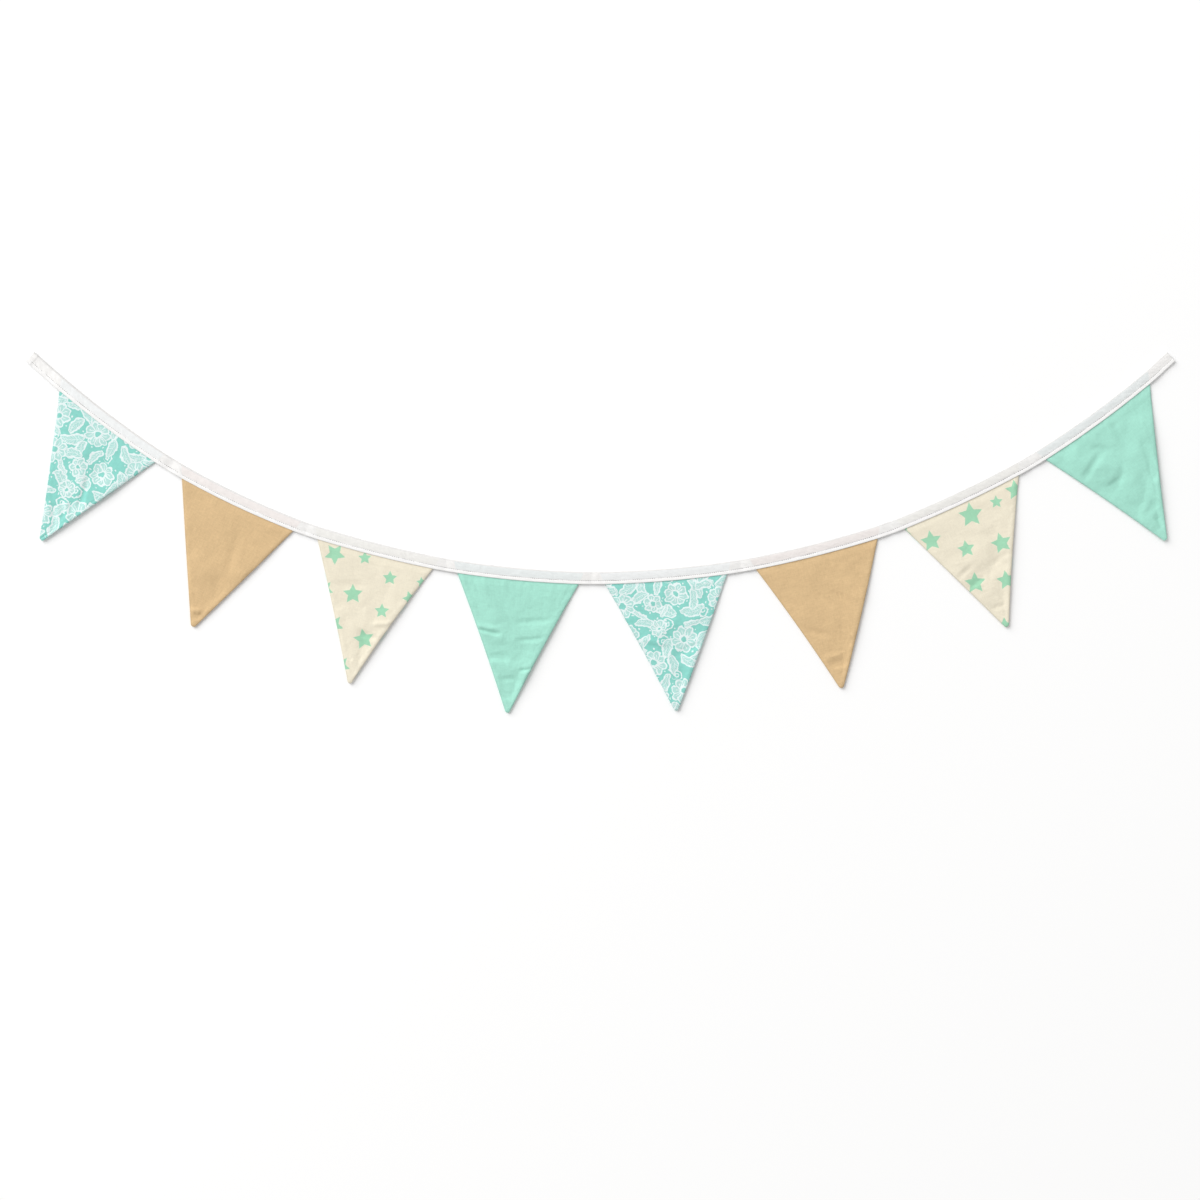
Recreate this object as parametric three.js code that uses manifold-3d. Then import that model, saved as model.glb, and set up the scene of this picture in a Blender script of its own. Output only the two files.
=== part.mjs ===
// A swag of cotton bunting, lying flat and face up: eight triangular pennants, each a front and
// a back panel sewn together and turned, with their heads sewn into one folded binding tape.
//
// Millimetres. +X runs along the swag, +Y points away from the pennants' tips, +Z points up from
// the surface. A place on the tape is an arc length from its left end, measured along its lower
// edge, and a distance up from that edge towards the fold.
import * as THREE from "three";
import { mergeVertices } from "three/addons/utils/BufferGeometryUtils.js";
import Module from "manifold-3d";

const { clamp, degToRad, lerp, smoothstep } = THREE.MathUtils;

// The tape's lower edge is a chain of arcs, a flat one under each pennant's head and a tighter one
// at each bare stretch between. It falls from its left end at this angle and ends in a bare tail.
const START_FALL = 42.4;
const TAIL = 44.0;
const TAIL_TURN = 4.8;

// Cloth. Layers that are sewn together keep a small gap.
const PLY = 1.0;
const GAP = 0.3;
const LAYER = PLY + GAP;

// The tape is folded along its upper edge, closed between the pennants and filled by their heads.
// Bare, its lower edge is pulled up a little. Each end is turned in and so a little thicker.
const TAPE_WIDTH = 15.8;
const TAPE_CLOSED = 2.2;
const TAPE_FULL = 3 * LAYER + PLY;
const FOLD_FULL = 2.9;
const FOLD_ROUND = 1.1;
const FOLD_STEPS = 4;
const EDGE_ROUND = 0.4;
const BARE_PULL = 0.6;
const END_TURN = 8;
const END_STEP = 1;
const END_RISE = 0.7;
const RAMP = 7;
const STATION_STEP = 20;

// The line of stitching is a groove above the lip at the tape's lower edge.
const LIP = 3.2;
const STITCH_WIDTH = 1.4;
const STITCH_DEPTH = 0.3;

// A pennant's head inside the tape, and the drape of its panels as they leave it.
const HEAD_DEPTH = 10.5;
const HEAD_SHELF = 1.5;
const DRAPE = 16;
const POCKET_MOUTH = 3;
const POCKET_STEPS = 8;

// How finely a panel is divided, and the angles of the rows round its blunt tip.
const CELLS_ACROSS = 7;
const DRAPE_ROWS = [-HEAD_DEPTH, HEAD_SHELF, 6, 11, DRAPE];
const BODY_ROWS = 7;
const TIP_RADIUS = 3.8;
const TIP_ANGLES = [48, 70, 84];

// One row for each pennant, from the left. gap is the bare tape before it and turn the angle that
// the tape turns through there, in degrees. width is the pennant's width along the tape and bend
// how far the tape turns over it. drop and lean place the point where its two sides would meet,
// down from the middle of its width and to the right. A bow is how far the middle of a side stands
// out of the straight line. The lifts say how far the left side, the right side and the tip stand
// off the surface. A side's lift reaches in over a share of the width and comes in over a share of
// the drop, and the tip's lift begins at a share of the drop.
const PENNANT_COLUMNS = [
  "cloth", "gap", "turn", "width", "bend", "drop", "lean", "leftBow", "rightBow",
  "leftLift", "rightLift", "tipLift",
];
const PENNANT_ROWS = [
  ["floral", 57.9, 2.1, 155.5, 7.0, 176.0, 20.4, -1.2, 0.0, 0.3, 2.6, 1.6],
  ["sand", 40.4, 4.1, 160.5, 8.0, 173.9, 15.2, 0.4, -0.7, 0.2, 1.4, 1.0],
  ["stars", 32.8, 4.0, 155.5, 5.8, 177.1, 9.5, -1.5, -2.0, 0.4, 2.0, 1.2],
  ["mint", 31.5, 2.8, 159.0, 6.8, 180.9, 2.1, -1.6, -2.5, 0.3, 2.4, 1.0],
  ["floral", 33.6, 3.1, 159.8, 6.7, 177.0, -0.7, -2.2, 0.6, 0.4, 2.0, 1.4],
  ["sand", 37.5, 3.0, 163.6, 6.5, 182.6, -12.1, -3.0, 1.6, 0.2, 1.8, 1.2],
  ["stars", 36.6, 4.5, 164.6, 6.2, 177.4, -15.5, -0.3, -3.0, 0.6, 2.2, 1.4],
  ["mint", 39.8, 4.1, 168.0, 7.5, 181.9, -19.9, -1.7, -1.5, 0.8, 2.8, 2.2],
];
const SIDE_LIFT_REACH = 0.34;
const SIDE_LIFT_FROM = 0.4;
const TIP_LIFT_FROM = 0.72;

// Soft puffs and folds of the front panels, as low ridges from one point to another. across runs
// from 0 at the left side to 1 at the right, down from 0 at the tape to 1 at the tip. reach is
// half the ridge's breadth.
const RIDGE_COLUMNS = ["pennant", "across", "down", "toAcross", "toDown", "reach", "height"];
const RIDGE_ROWS = [
  [1, 0.25, 0.25, 0.65, 0.45, 22, 0.9],
  [2, 0.30, 0.55, 0.80, 0.40, 26, 0.6],
  [3, 0.20, 0.50, 0.85, 0.58, 22, 0.8],
  [4, 0.18, 0.08, 0.30, 0.30, 16, 0.9],
  [4, 0.05, 0.38, 0.75, 0.42, 18, 0.9],
  [4, 0.15, 0.62, 0.90, 0.66, 18, 0.9],
  [5, 0.30, 0.35, 0.75, 0.30, 24, 0.8],
  [6, 0.25, 0.40, 0.80, 0.55, 28, 0.6],
  [7, 0.02, 0.48, 0.60, 0.38, 20, 1.0],
  [7, 0.10, 0.70, 0.85, 0.62, 20, 0.8],
  [8, 0.16, 0.12, 0.34, 0.34, 18, 1.4],
  [8, 0.45, 0.55, 0.85, 0.20, 22, 1.2],
  [8, 0.30, 0.78, 0.85, 0.60, 18, 1.1],
];

const CLOTH = {
  tape: { color: 0xf2f1ee, roughness: 0.9 },
  floral: { color: 0xbfe6da, roughness: 0.88 },
  sand: { color: 0xdebe8e, roughness: 0.9 },
  stars: { color: 0xeee7cd, roughness: 0.9 },
  mint: { color: 0xa8e6d4, roughness: 0.88 },
};

// Turns a table's rows into objects with a field for each column.
function readTable(columns, rows) {
  return rows.map((row) => Object.fromEntries(columns.map((name, i) => [name, row[i]])));
}

// The place and heading at a distance along an arc.
function advance({ s, x, y, heading, curve }, distance) {
  const next = heading + curve * distance;
  return {
    s: s + distance,
    x: x + (Math.sin(next) - Math.sin(heading)) / curve,
    y: y - (Math.cos(next) - Math.cos(heading)) / curve,
    heading: next,
  };
}

// The arcs of the tape's lower edge, each with its start and its curvature.
function layArcs(rows) {
  const spans = rows.flatMap((row) => [[row.gap, row.turn], [row.width, row.bend]]);
  const arcs = [];
  let from = { s: 0, x: 0, y: 0, heading: -degToRad(START_FALL) };
  for (const [length, turn] of [...spans, [TAIL, TAIL_TURN]]) {
    const arc = { ...from, length, curve: degToRad(turn) / length };
    arcs.push(arc);
    from = advance(arc, length);
  }
  return arcs;
}

const pennantRows = readTable(PENNANT_COLUMNS, PENNANT_ROWS);
const arcs = layArcs(pennantRows);
const TAPE_LENGTH = arcs.at(-1).s + TAIL;

// The point at arc length s along the tape, up from its lower edge and z above the surface.
function onTape(s, up, z = 0) {
  const arc = arcs.findLast((each) => each.s <= s) ?? arcs[0];
  const { x, y, heading } = advance(arc, s - arc.s);
  return new THREE.Vector3(x - up * Math.sin(heading), y + up * Math.cos(heading), z);
}

// A pennant's plan: its corners on the tape, the point where its sides meet, and their slopes.
function planPennant(row, i) {
  const { s: start } = arcs[2 * i + 1];
  const end = start + row.width;
  const left = onTape(start, 0);
  const right = onTape(end, 0);
  const chord = right.clone().sub(left);
  const half = chord.length() / 2;
  const along = chord.normalize();
  const down = new THREE.Vector3(along.y, -along.x, 0);
  const middle = left.clone().lerp(right, 0.5);
  const point = middle.addScaledVector(down, row.drop).addScaledVector(along, row.lean);
  const leftFlare = (half + row.lean) / row.drop;
  const rightFlare = (half - row.lean) / row.drop;
  const tipAngle = (Math.atan(leftFlare) + Math.atan(rightFlare)) / 2;
  return { ...row, start, end, along, point, leftFlare, rightFlare, tipAngle };
}

const pennants = pennantRows.map(planPennant);
const ridges = readTable(RIDGE_COLUMNS, RIDGE_ROWS);

// The depths of a panel's rows below the tape's lower edge, each with how much of the straight
// sides' width it keeps. The last rows go round the blunt tip.
function panelRows(pennant) {
  const { drop, tipAngle } = pennant;
  const arcCentre = TIP_RADIUS / Math.sin(tipAngle);
  const tangent = drop - (TIP_RADIUS * Math.cos(tipAngle)) / Math.tan(tipAngle);
  const rows = DRAPE_ROWS.map((depth) => ({ depth, keep: 1 }));
  for (let i = 1; i <= BODY_ROWS; i++) {
    rows.push({ depth: lerp(DRAPE, tangent, i / BODY_ROWS), keep: 1 });
  }
  for (const angle of TIP_ANGLES.map(degToRad)) {
    const toPoint = arcCentre - TIP_RADIUS * Math.sin(angle);
    const keep = (TIP_RADIUS * Math.cos(angle)) / (toPoint * Math.tan(tipAngle));
    rows.push({ depth: drop - toPoint, keep });
  }
  return rows;
}

// A point of a pennant's plan, across from 0 at its left side to 1 at its right.
function planPoint(pennant, across, depth) {
  const { start, end, point, leftFlare, rightFlare } = pennant;
  if (depth < 0) {
    return onTape(lerp(start + depth * leftFlare, end - depth * rightFlare, across), -depth);
  }
  const down = depth / pennant.drop;
  const bow = 4 * down * (1 - down);
  const out = across * pennant.rightBow - (1 - across) * pennant.leftBow;
  const top = onTape(lerp(start, end, across), 0);
  return top.lerp(point, down).addScaledVector(pennant.along, bow * out);
}

// How far a pennant's underside stands off the surface.
function liftOf(pennant, across, depth) {
  if (depth < HEAD_SHELF) {
    return LAYER;
  }
  const down = depth / pennant.drop;
  const free = smoothstep(down, 0, SIDE_LIFT_FROM);
  const atLeft = 1 - smoothstep(across, 0, SIDE_LIFT_REACH);
  const atRight = smoothstep(across, 1 - SIDE_LIFT_REACH, 1);
  const atTip = smoothstep(down, TIP_LIFT_FROM, 1);
  const sides = free * (pennant.leftLift * atLeft + pennant.rightLift * atRight) * (1 - atTip);
  return LAYER * (1 - smoothstep(depth, HEAD_SHELF, DRAPE)) + sides + pennant.tipLift * atTip;
}

// How far the ridges raise a front panel above its back.
function puffOf(number, pennant, across, depth) {
  if (depth <= HEAD_SHELF) {
    return 0;
  }
  const here = planPoint(pennant, across, depth);
  let puff = 0;
  for (const ridge of ridges.filter((row) => row.pennant === number)) {
    const from = planPoint(pennant, ridge.across, ridge.down * pennant.drop);
    const to = planPoint(pennant, ridge.toAcross, ridge.toDown * pennant.drop);
    const near = new THREE.Line3(from, to).closestPointToPoint(here, true, new THREE.Vector3());
    const away = clamp(here.distanceTo(near) / ridge.reach, 0, 1);
    puff = Math.max(puff, ridge.height * (1 - away ** 2) ** 2);
  }
  return puff * smoothstep(depth, HEAD_SHELF, DRAPE);
}

// A closed sheet one ply thick over rows of points, all with the same number of points.
function sheetSolid(rows) {
  const across = rows[0].length;
  const lower = rows.flat();
  const upper = lower.map((point) => point.clone().setZ(point.z + PLY));
  const faces = [];
  const above = lower.length;
  const quad = (a, b, c, d) => faces.push([a, b, c], [a, c, d]);
  for (let r = 0; r + 1 < rows.length; r++) {
    for (let c = 0; c + 1 < across; c++) {
      const a = r * across + c;
      const b = a + across;
      quad(a, a + 1, b + 1, b);
      quad(above + a, above + b, above + b + 1, above + a + 1);
    }
    const leftSide = r * across;
    const rightSide = leftSide + across - 1;
    quad(leftSide, leftSide + across, above + leftSide + across, above + leftSide);
    quad(rightSide + across, rightSide, above + rightSide, above + rightSide + across);
  }
  for (let c = 0; c + 1 < across; c++) {
    const last = (rows.length - 1) * across + c;
    quad(c + 1, c, above + c, above + c + 1);
    quad(last, last + 1, above + last + 1, above + last);
  }
  return solid([...lower, ...upper], faces);
}

// A closed solid through rings of points, each ring running the same way round.
function loftSolid(rings) {
  const count = rings[0].length;
  const faces = [];
  for (let r = 0; r + 1 < rings.length; r++) {
    for (let i = 0; i < count; i++) {
      const a = r * count + i;
      const b = r * count + ((i + 1) % count);
      faces.push([a, b, b + count], [a, b + count, a + count]);
    }
  }
  const last = (rings.length - 1) * count;
  for (const [a, b, c] of capFaces(rings[0])) {
    faces.push([c, b, a]);
  }
  for (const [a, b, c] of capFaces(rings.at(-1))) {
    faces.push([last + a, last + b, last + c]);
  }
  return solid(rings.flat(), faces);
}

// The triangles that close a ring, in the ring's own direction.
function capFaces(ring) {
  const side = ring[1].clone().sub(ring[0]).setZ(0).normalize();
  const flat = ring.map((point) => new THREE.Vector2(point.dot(side), point.z));
  return THREE.ShapeUtils.triangulateShape(flat, []);
}

// A geometry from points and triangles.
function solid(points, faces) {
  const geometry = new THREE.BufferGeometry().setFromPoints(points);
  geometry.setIndex(faces.flat());
  return geometry;
}

// Where a pennant's head begins and ends along the tape, at its widest.
function headSpan(pennant) {
  const from = pennant.start - HEAD_DEPTH * pennant.leftFlare;
  const to = pennant.end + HEAD_DEPTH * pennant.rightFlare;
  return [from, to];
}

// How full the tape is at s: 1 over a head and its margin, 0 where the tape is closed.
function fullness(s) {
  const outside = pennants.map((pennant) => {
    const [from, to] = headSpan(pennant);
    return Math.max(from - LAYER - s, s - to - LAYER, 0);
  });
  return 1 - smoothstep(Math.min(...outside), 0, RAMP);
}

// The tape's outline across at s, from its lower edge along the underside, round the fold at the
// top and back over the stitching.
function tapeSection(s) {
  const full = fullness(s);
  const toEnd = Math.min(s, TAPE_LENGTH - s);
  const turned = END_RISE * (1 - smoothstep(toEnd, END_TURN - END_STEP, END_TURN + END_STEP));
  const height = lerp(TAPE_CLOSED, TAPE_FULL, full) + turned;
  const fold = lerp(TAPE_CLOSED, FOLD_FULL, full) + turned;
  const low = BARE_PULL * (1 - full);
  const round = Array.from({ length: FOLD_STEPS + 1 }, (_, i) => {
    const angle = (Math.PI * i) / FOLD_STEPS;
    const up = TAPE_WIDTH - FOLD_ROUND * (1 - Math.sin(angle));
    return [up, (fold * (1 - Math.cos(angle))) / 2];
  });
  return [
    [low + EDGE_ROUND, 0],
    ...round,
    [HEAD_DEPTH + LAYER, height],
    [low + LIP + STITCH_WIDTH, height],
    [low + LIP + STITCH_WIDTH / 2, height - STITCH_DEPTH],
    [low + LIP, height],
    [low + EDGE_ROUND, height],
    [low, height / 2],
  ].map(([up, z]) => onTape(s, up, z));
}

// The arc lengths at which the tape's outline is taken.
function tapeStations() {
  const stations = [0, END_TURN - END_STEP, END_TURN + END_STEP];
  for (const pennant of pennants) {
    const [from, to] = headSpan(pennant);
    const low = from - LAYER;
    const high = to + LAYER;
    const steps = Math.round((high - low) / STATION_STEP);
    stations.push(low - RAMP, low - RAMP / 2);
    for (let i = 0; i <= steps; i++) {
      stations.push(lerp(low, high, i / steps));
    }
    stations.push(high + RAMP / 2, high + RAMP);
  }
  const turnedIn = TAPE_LENGTH - END_TURN;
  stations.push(turnedIn - END_STEP, turnedIn + END_STEP, TAPE_LENGTH);
  return stations;
}

// The space in the tape that a pennant's head fills, with the gap round it.
function pocketSolid(pennant) {
  const top = HEAD_DEPTH + GAP;
  const rings = [];
  for (let i = 0; i <= POCKET_STEPS; i++) {
    const at = (up) => {
      const from = pennant.start - GAP - up * pennant.leftFlare;
      const to = pennant.end + GAP + up * pennant.rightFlare;
      return lerp(from, to, i / POCKET_STEPS);
    };
    const mouth = at(-POCKET_MOUTH);
    const inner = at(top);
    rings.push([
      onTape(mouth, -POCKET_MOUTH, PLY),
      onTape(inner, top, PLY),
      onTape(inner, top, TAPE_FULL - PLY),
      onTape(mouth, -POCKET_MOUTH, TAPE_FULL - PLY),
    ]);
  }
  return loftSolid(rings);
}

// Cuts tools from a body, all of them closed.
async function cutAll(body, tools) {
  const wasm = await Module();
  wasm.setup();
  const toManifold = (geometry) => {
    const merged = mergeVertices(geometry);
    const mesh = new wasm.Mesh({
      numProp: 3,
      vertProperties: new Float32Array(merged.attributes.position.array),
      triVerts: new Uint32Array(merged.index.array),
    });
    return new wasm.Manifold(mesh);
  };
  let cut = toManifold(body);
  for (const tool of tools) {
    cut = cut.subtract(toManifold(tool));
  }
  const mesh = cut.getMesh();
  const geometry = new THREE.BufferGeometry();
  geometry.setAttribute("position", new THREE.BufferAttribute(mesh.vertProperties, 3));
  geometry.setIndex(new THREE.BufferAttribute(mesh.triVerts, 1));
  return geometry;
}

// A named piece in its cloth.
function piece(name, geometry, cloth) {
  const material = new THREE.MeshStandardMaterial({ ...CLOTH[cloth], metalness: 0 });
  const mesh = new THREE.Mesh(geometry, material);
  mesh.name = name;
  return mesh;
}

// The front and back panels of a pennant. The front lies a ply and a gap above the back.
function buildPanels(pennant, number) {
  const rows = panelRows(pennant);
  const lay = (height) => rows.map(({ depth, keep }) => {
    const row = [];
    for (let c = 0; c <= CELLS_ACROSS; c++) {
      const across = 0.5 + (c / CELLS_ACROSS - 0.5) * keep;
      row.push(planPoint(pennant, across, depth).setZ(height(across, depth)));
    }
    return row;
  });
  const back = lay((across, depth) => liftOf(pennant, across, depth));
  const front = lay((across, depth) => {
    return LAYER + liftOf(pennant, across, depth) + puffOf(number, pennant, across, depth);
  });
  return [
    piece(`pennant_${number}_back`, sheetSolid(back), pennant.cloth),
    piece(`pennant_${number}_front`, sheetSolid(front), pennant.cloth),
  ];
}

const bunting = new THREE.Group();
const tapeBody = loftSolid(tapeStations().map(tapeSection));
bunting.add(piece("tape", await cutAll(tapeBody, pennants.map(pocketSolid)), "tape"));
pennants.forEach((pennant, i) => bunting.add(...buildPanels(pennant, i + 1)));

// The origin is under the middle of the whole piece, on the surface it lies on.
const box = new THREE.Box3().setFromObject(bunting);
const middle = box.getCenter(new THREE.Vector3());
bunting.position.set(-middle.x, -middle.y, -box.min.z);

export default bunting;
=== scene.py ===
"""Looks of the fabric bunting: printed and plain cotton pennants on a folded binding tape.

Tables and sizes are in millimetres and become metres where a mesh is made. The bunting lies flat
and face up, and the camera stands straight above it.
"""

import logging
import math
from dataclasses import dataclass, field
from enum import Enum

import bpy
import numpy as np
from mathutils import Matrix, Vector, noise


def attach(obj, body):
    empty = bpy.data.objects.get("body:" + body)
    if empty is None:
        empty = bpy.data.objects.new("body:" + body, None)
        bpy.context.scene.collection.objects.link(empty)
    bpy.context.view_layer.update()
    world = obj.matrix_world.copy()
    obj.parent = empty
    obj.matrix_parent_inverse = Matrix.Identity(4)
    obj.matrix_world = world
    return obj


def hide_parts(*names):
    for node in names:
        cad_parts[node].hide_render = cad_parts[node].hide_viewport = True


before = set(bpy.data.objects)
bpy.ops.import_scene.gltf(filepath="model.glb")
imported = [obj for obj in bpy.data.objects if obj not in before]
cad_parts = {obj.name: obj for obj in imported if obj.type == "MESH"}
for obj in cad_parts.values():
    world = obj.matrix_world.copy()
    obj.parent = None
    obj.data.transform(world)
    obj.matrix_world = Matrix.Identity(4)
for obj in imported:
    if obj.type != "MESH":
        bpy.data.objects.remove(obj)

logging.basicConfig(level=logging.INFO, format="%(message)s")
log = logging.getLogger("bunting")

MM = 0.001


class Cloth(Enum):
    """The cottons, each with the name of its material slot in the record."""

    FLORAL = "floral_cotton"
    SAND = "sand_cotton"
    STARS = "star_cotton"
    MINT = "mint_cotton"
    TAPE = "tape_cotton"


# One row for each pennant, from the left: the bare tape before it and the angle that the tape
# turns there, its width and the tape's turn over it, the place of the point where its sides meet,
# the bow of its sides, and how far its sides and tip stand off. The rows are those of the part's
# source, but for one bow of each of the pennants 2 to 7, which differs by about 1 mm or less.
PENNANT_COLUMNS = (
    "cloth", "gap", "turn", "width", "bend", "drop", "lean", "left_bow", "right_bow",
    "left_lift", "right_lift", "tip_lift",
)
PENNANT_ROWS = (
    (Cloth.FLORAL, 57.9, 2.1, 155.5, 7.0, 176.0, 20.4, -1.2, 0.0, 0.3, 2.6, 1.6),
    (Cloth.SAND, 40.4, 4.1, 160.5, 8.0, 173.9, 15.2, 0.4, 0.4, 0.2, 1.4, 1.0),
    (Cloth.STARS, 32.8, 4.0, 155.5, 5.8, 177.1, 9.5, -1.5, -2.6, 0.4, 2.0, 1.2),
    (Cloth.MINT, 31.5, 2.8, 159.0, 6.8, 180.9, 2.1, -1.6, -1.8, 0.3, 2.4, 1.0),
    (Cloth.FLORAL, 33.6, 3.1, 159.8, 6.7, 177.0, -0.7, -1.6, 0.6, 0.4, 2.0, 1.4),
    (Cloth.SAND, 37.5, 3.0, 163.6, 6.5, 182.6, -12.1, -2.0, 1.6, 0.2, 1.8, 1.2),
    (Cloth.STARS, 36.6, 4.5, 164.6, 6.2, 177.4, -15.5, -0.3, -2.2, 0.6, 2.2, 1.4),
    (Cloth.MINT, 39.8, 4.1, 168.0, 7.5, 181.9, -19.9, -1.7, -1.5, 0.8, 2.8, 2.2),
)

# Broad puffs and fine creases of the front panels, from one point to another. across runs from 0
# at the left side to 1 at the right, down from 0 at the tape to 1 at the tip. reach is half the
# fold's breadth, and a height below 0 is a trough. A fold of more reach than PUFF_REACH is a puff.
PUFF_REACH = 12
CREASE_COLUMNS = ("pennant", "across", "down", "to_across", "to_down", "reach", "height")
CREASE_ROWS = (
    (1, 0.25, 0.25, 0.65, 0.45, 22, 0.9),
    (1, 0.62, 0.38, 0.88, 0.62, 6, -0.35),
    (1, 0.55, 0.62, 0.86, 0.72, 6, 0.35),
    (1, 0.30, 0.70, 0.75, 0.84, 6, -0.30),
    (2, 0.30, 0.55, 0.80, 0.40, 26, 0.6),
    (2, 0.12, 0.86, 0.62, 0.835, 5, 0.45),
    (2, 0.20, 0.90, 0.70, 0.885, 5, -0.40),
    (2, 0.62, 0.20, 0.70, 0.48, 9, -0.25),
    (3, 0.20, 0.50, 0.85, 0.58, 22, 0.8),
    (3, 0.52, 0.585, 0.93, 0.60, 6, -0.40),
    (3, 0.72, 0.50, 0.96, 0.46, 5, 0.30),
    (3, 0.10, 0.30, 0.45, 0.24, 8, -0.25),
    (3, 0.35, 0.80, 0.80, 0.83, 6, 0.30),
    (4, 0.18, 0.08, 0.30, 0.30, 16, 0.9),
    (4, 0.05, 0.38, 0.75, 0.42, 18, 0.9),
    (4, 0.15, 0.62, 0.90, 0.66, 18, 0.9),
    (4, 0.00, 0.385, 0.30, 0.40, 4, -0.50),
    (4, 0.02, 0.36, 0.28, 0.37, 5, 0.30),
    (4, 0.58, 0.44, 0.92, 0.41, 5, -0.32),
    (4, 0.55, 0.30, 0.90, 0.27, 6, -0.25),
    (4, 0.05, 0.58, 0.40, 0.57, 7, -0.50),
    (4, 0.74, 0.655, 0.99, 0.645, 3.5, -0.50),
    (4, 0.20, 0.725, 0.62, 0.72, 5, -0.25),
    (4, 0.10, 0.84, 0.55, 0.85, 5, -0.30),
    (5, 0.30, 0.35, 0.75, 0.30, 24, 0.8),
    (5, 0.55, 0.55, 0.96, 0.50, 6, -0.30),
    (5, 0.10, 0.42, 0.40, 0.47, 6, 0.25),
    (6, 0.25, 0.40, 0.80, 0.55, 28, 0.6),
    (6, 0.30, 0.79, 0.78, 0.80, 6, -0.40),
    (6, 0.20, 0.74, 0.70, 0.745, 6, 0.30),
    (6, 0.60, 0.30, 0.90, 0.42, 8, -0.28),
    (6, 0.10, 0.50, 0.40, 0.58, 8, -0.25),
    (7, 0.02, 0.48, 0.60, 0.38, 20, 1.0),
    (7, 0.10, 0.70, 0.85, 0.62, 20, 0.8),
    (7, 0.02, 0.50, 0.34, 0.45, 5, -0.22),
    (7, 0.05, 0.60, 0.38, 0.57, 5, -0.20),
    (7, 0.20, 0.80, 0.75, 0.82, 5, -0.20),
    (7, 0.60, 0.50, 0.96, 0.48, 6, -0.16),
    (8, 0.16, 0.12, 0.34, 0.34, 18, 1.4),
    (8, 0.45, 0.55, 0.85, 0.20, 22, 1.2),
    (8, 0.30, 0.78, 0.85, 0.60, 18, 1.1),
    (8, 0.08, 0.27, 0.38, 0.18, 8, -0.42),
    (8, 0.32, 0.10, 0.44, 0.20, 8, -0.30),
    (8, 0.14, 0.46, 0.40, 0.41, 9, -0.34),
    (8, 0.60, 0.06, 0.64, 0.24, 8, -0.25),
    (8, 0.84, 0.30, 0.93, 0.66, 8, -0.36),
    (8, 0.40, 0.74, 0.74, 0.70, 8, -0.26),
    (8, 0.62, 0.80, 0.88, 0.86, 6, -0.28),
)

# How strongly each pennant is gathered under the tape.
HEAD_GATHERS = (0.16, 0.12, 0.14, 0.42, 0.18, 0.14, 0.20, 0.34)

# The printed stars, on the length of cream cotton that the panels are cut from. A panel's own
# zero is the middle of its top at the tape's lower edge, and down is towards its tip.
STAR_COLUMNS = ("pennant", "across", "down", "radius", "turn")
STAR_ROWS = (
    (3, -50.8, 13.4, 13.4, 194), (3, -11.7, 8.8, 8.4, 14), (3, 26.2, 26.0, 9.2, 11),
    (3, -15.3, 58.0, 12.6, 14), (3, 26.7, 70.1, 9.4, 12), (3, 13.0, 111.2, 13.2, 24),
    (3, -52.5, 61.0, 11.6, 46), (3, 67.5, 21.1, 6.6, 20), (3, 58.3, 45.4, 9.8, 30),
    (3, -29.5, 103.0, 12.6, 48), (3, -7.5, 152.0, 12.0, 48),
    (7, 3.4, 20.5, 15.6, 344), (7, 40.6, 19.3, 8.2, 340), (7, 69.6, 15.7, 12.8, 345),
    (7, -57.4, 29.4, 13.4, 346), (7, -20.6, 58.1, 11.2, 346), (7, 23.9, 70.4, 13.2, 352),
    (7, -28.8, 103.1, 13.6, 340), (7, 9.4, 116.7, 12.4, 346), (7, -17.9, 170.0, 11.0, 340),
    (7, -86.0, 2.7, 11.0, 12),
)
STAR_CUTS = {3: (0.0, 0.0), 7: (260.0, 0.0)}
STAR_GROWTH = 1.05

# Where a pennant's panels are cut from the other cottons: a start along the length, and the
# steps along and up it from one pennant to the next.
CUT_START = 11.0
CUT_STEPS = (37.0, 23.0)

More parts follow.
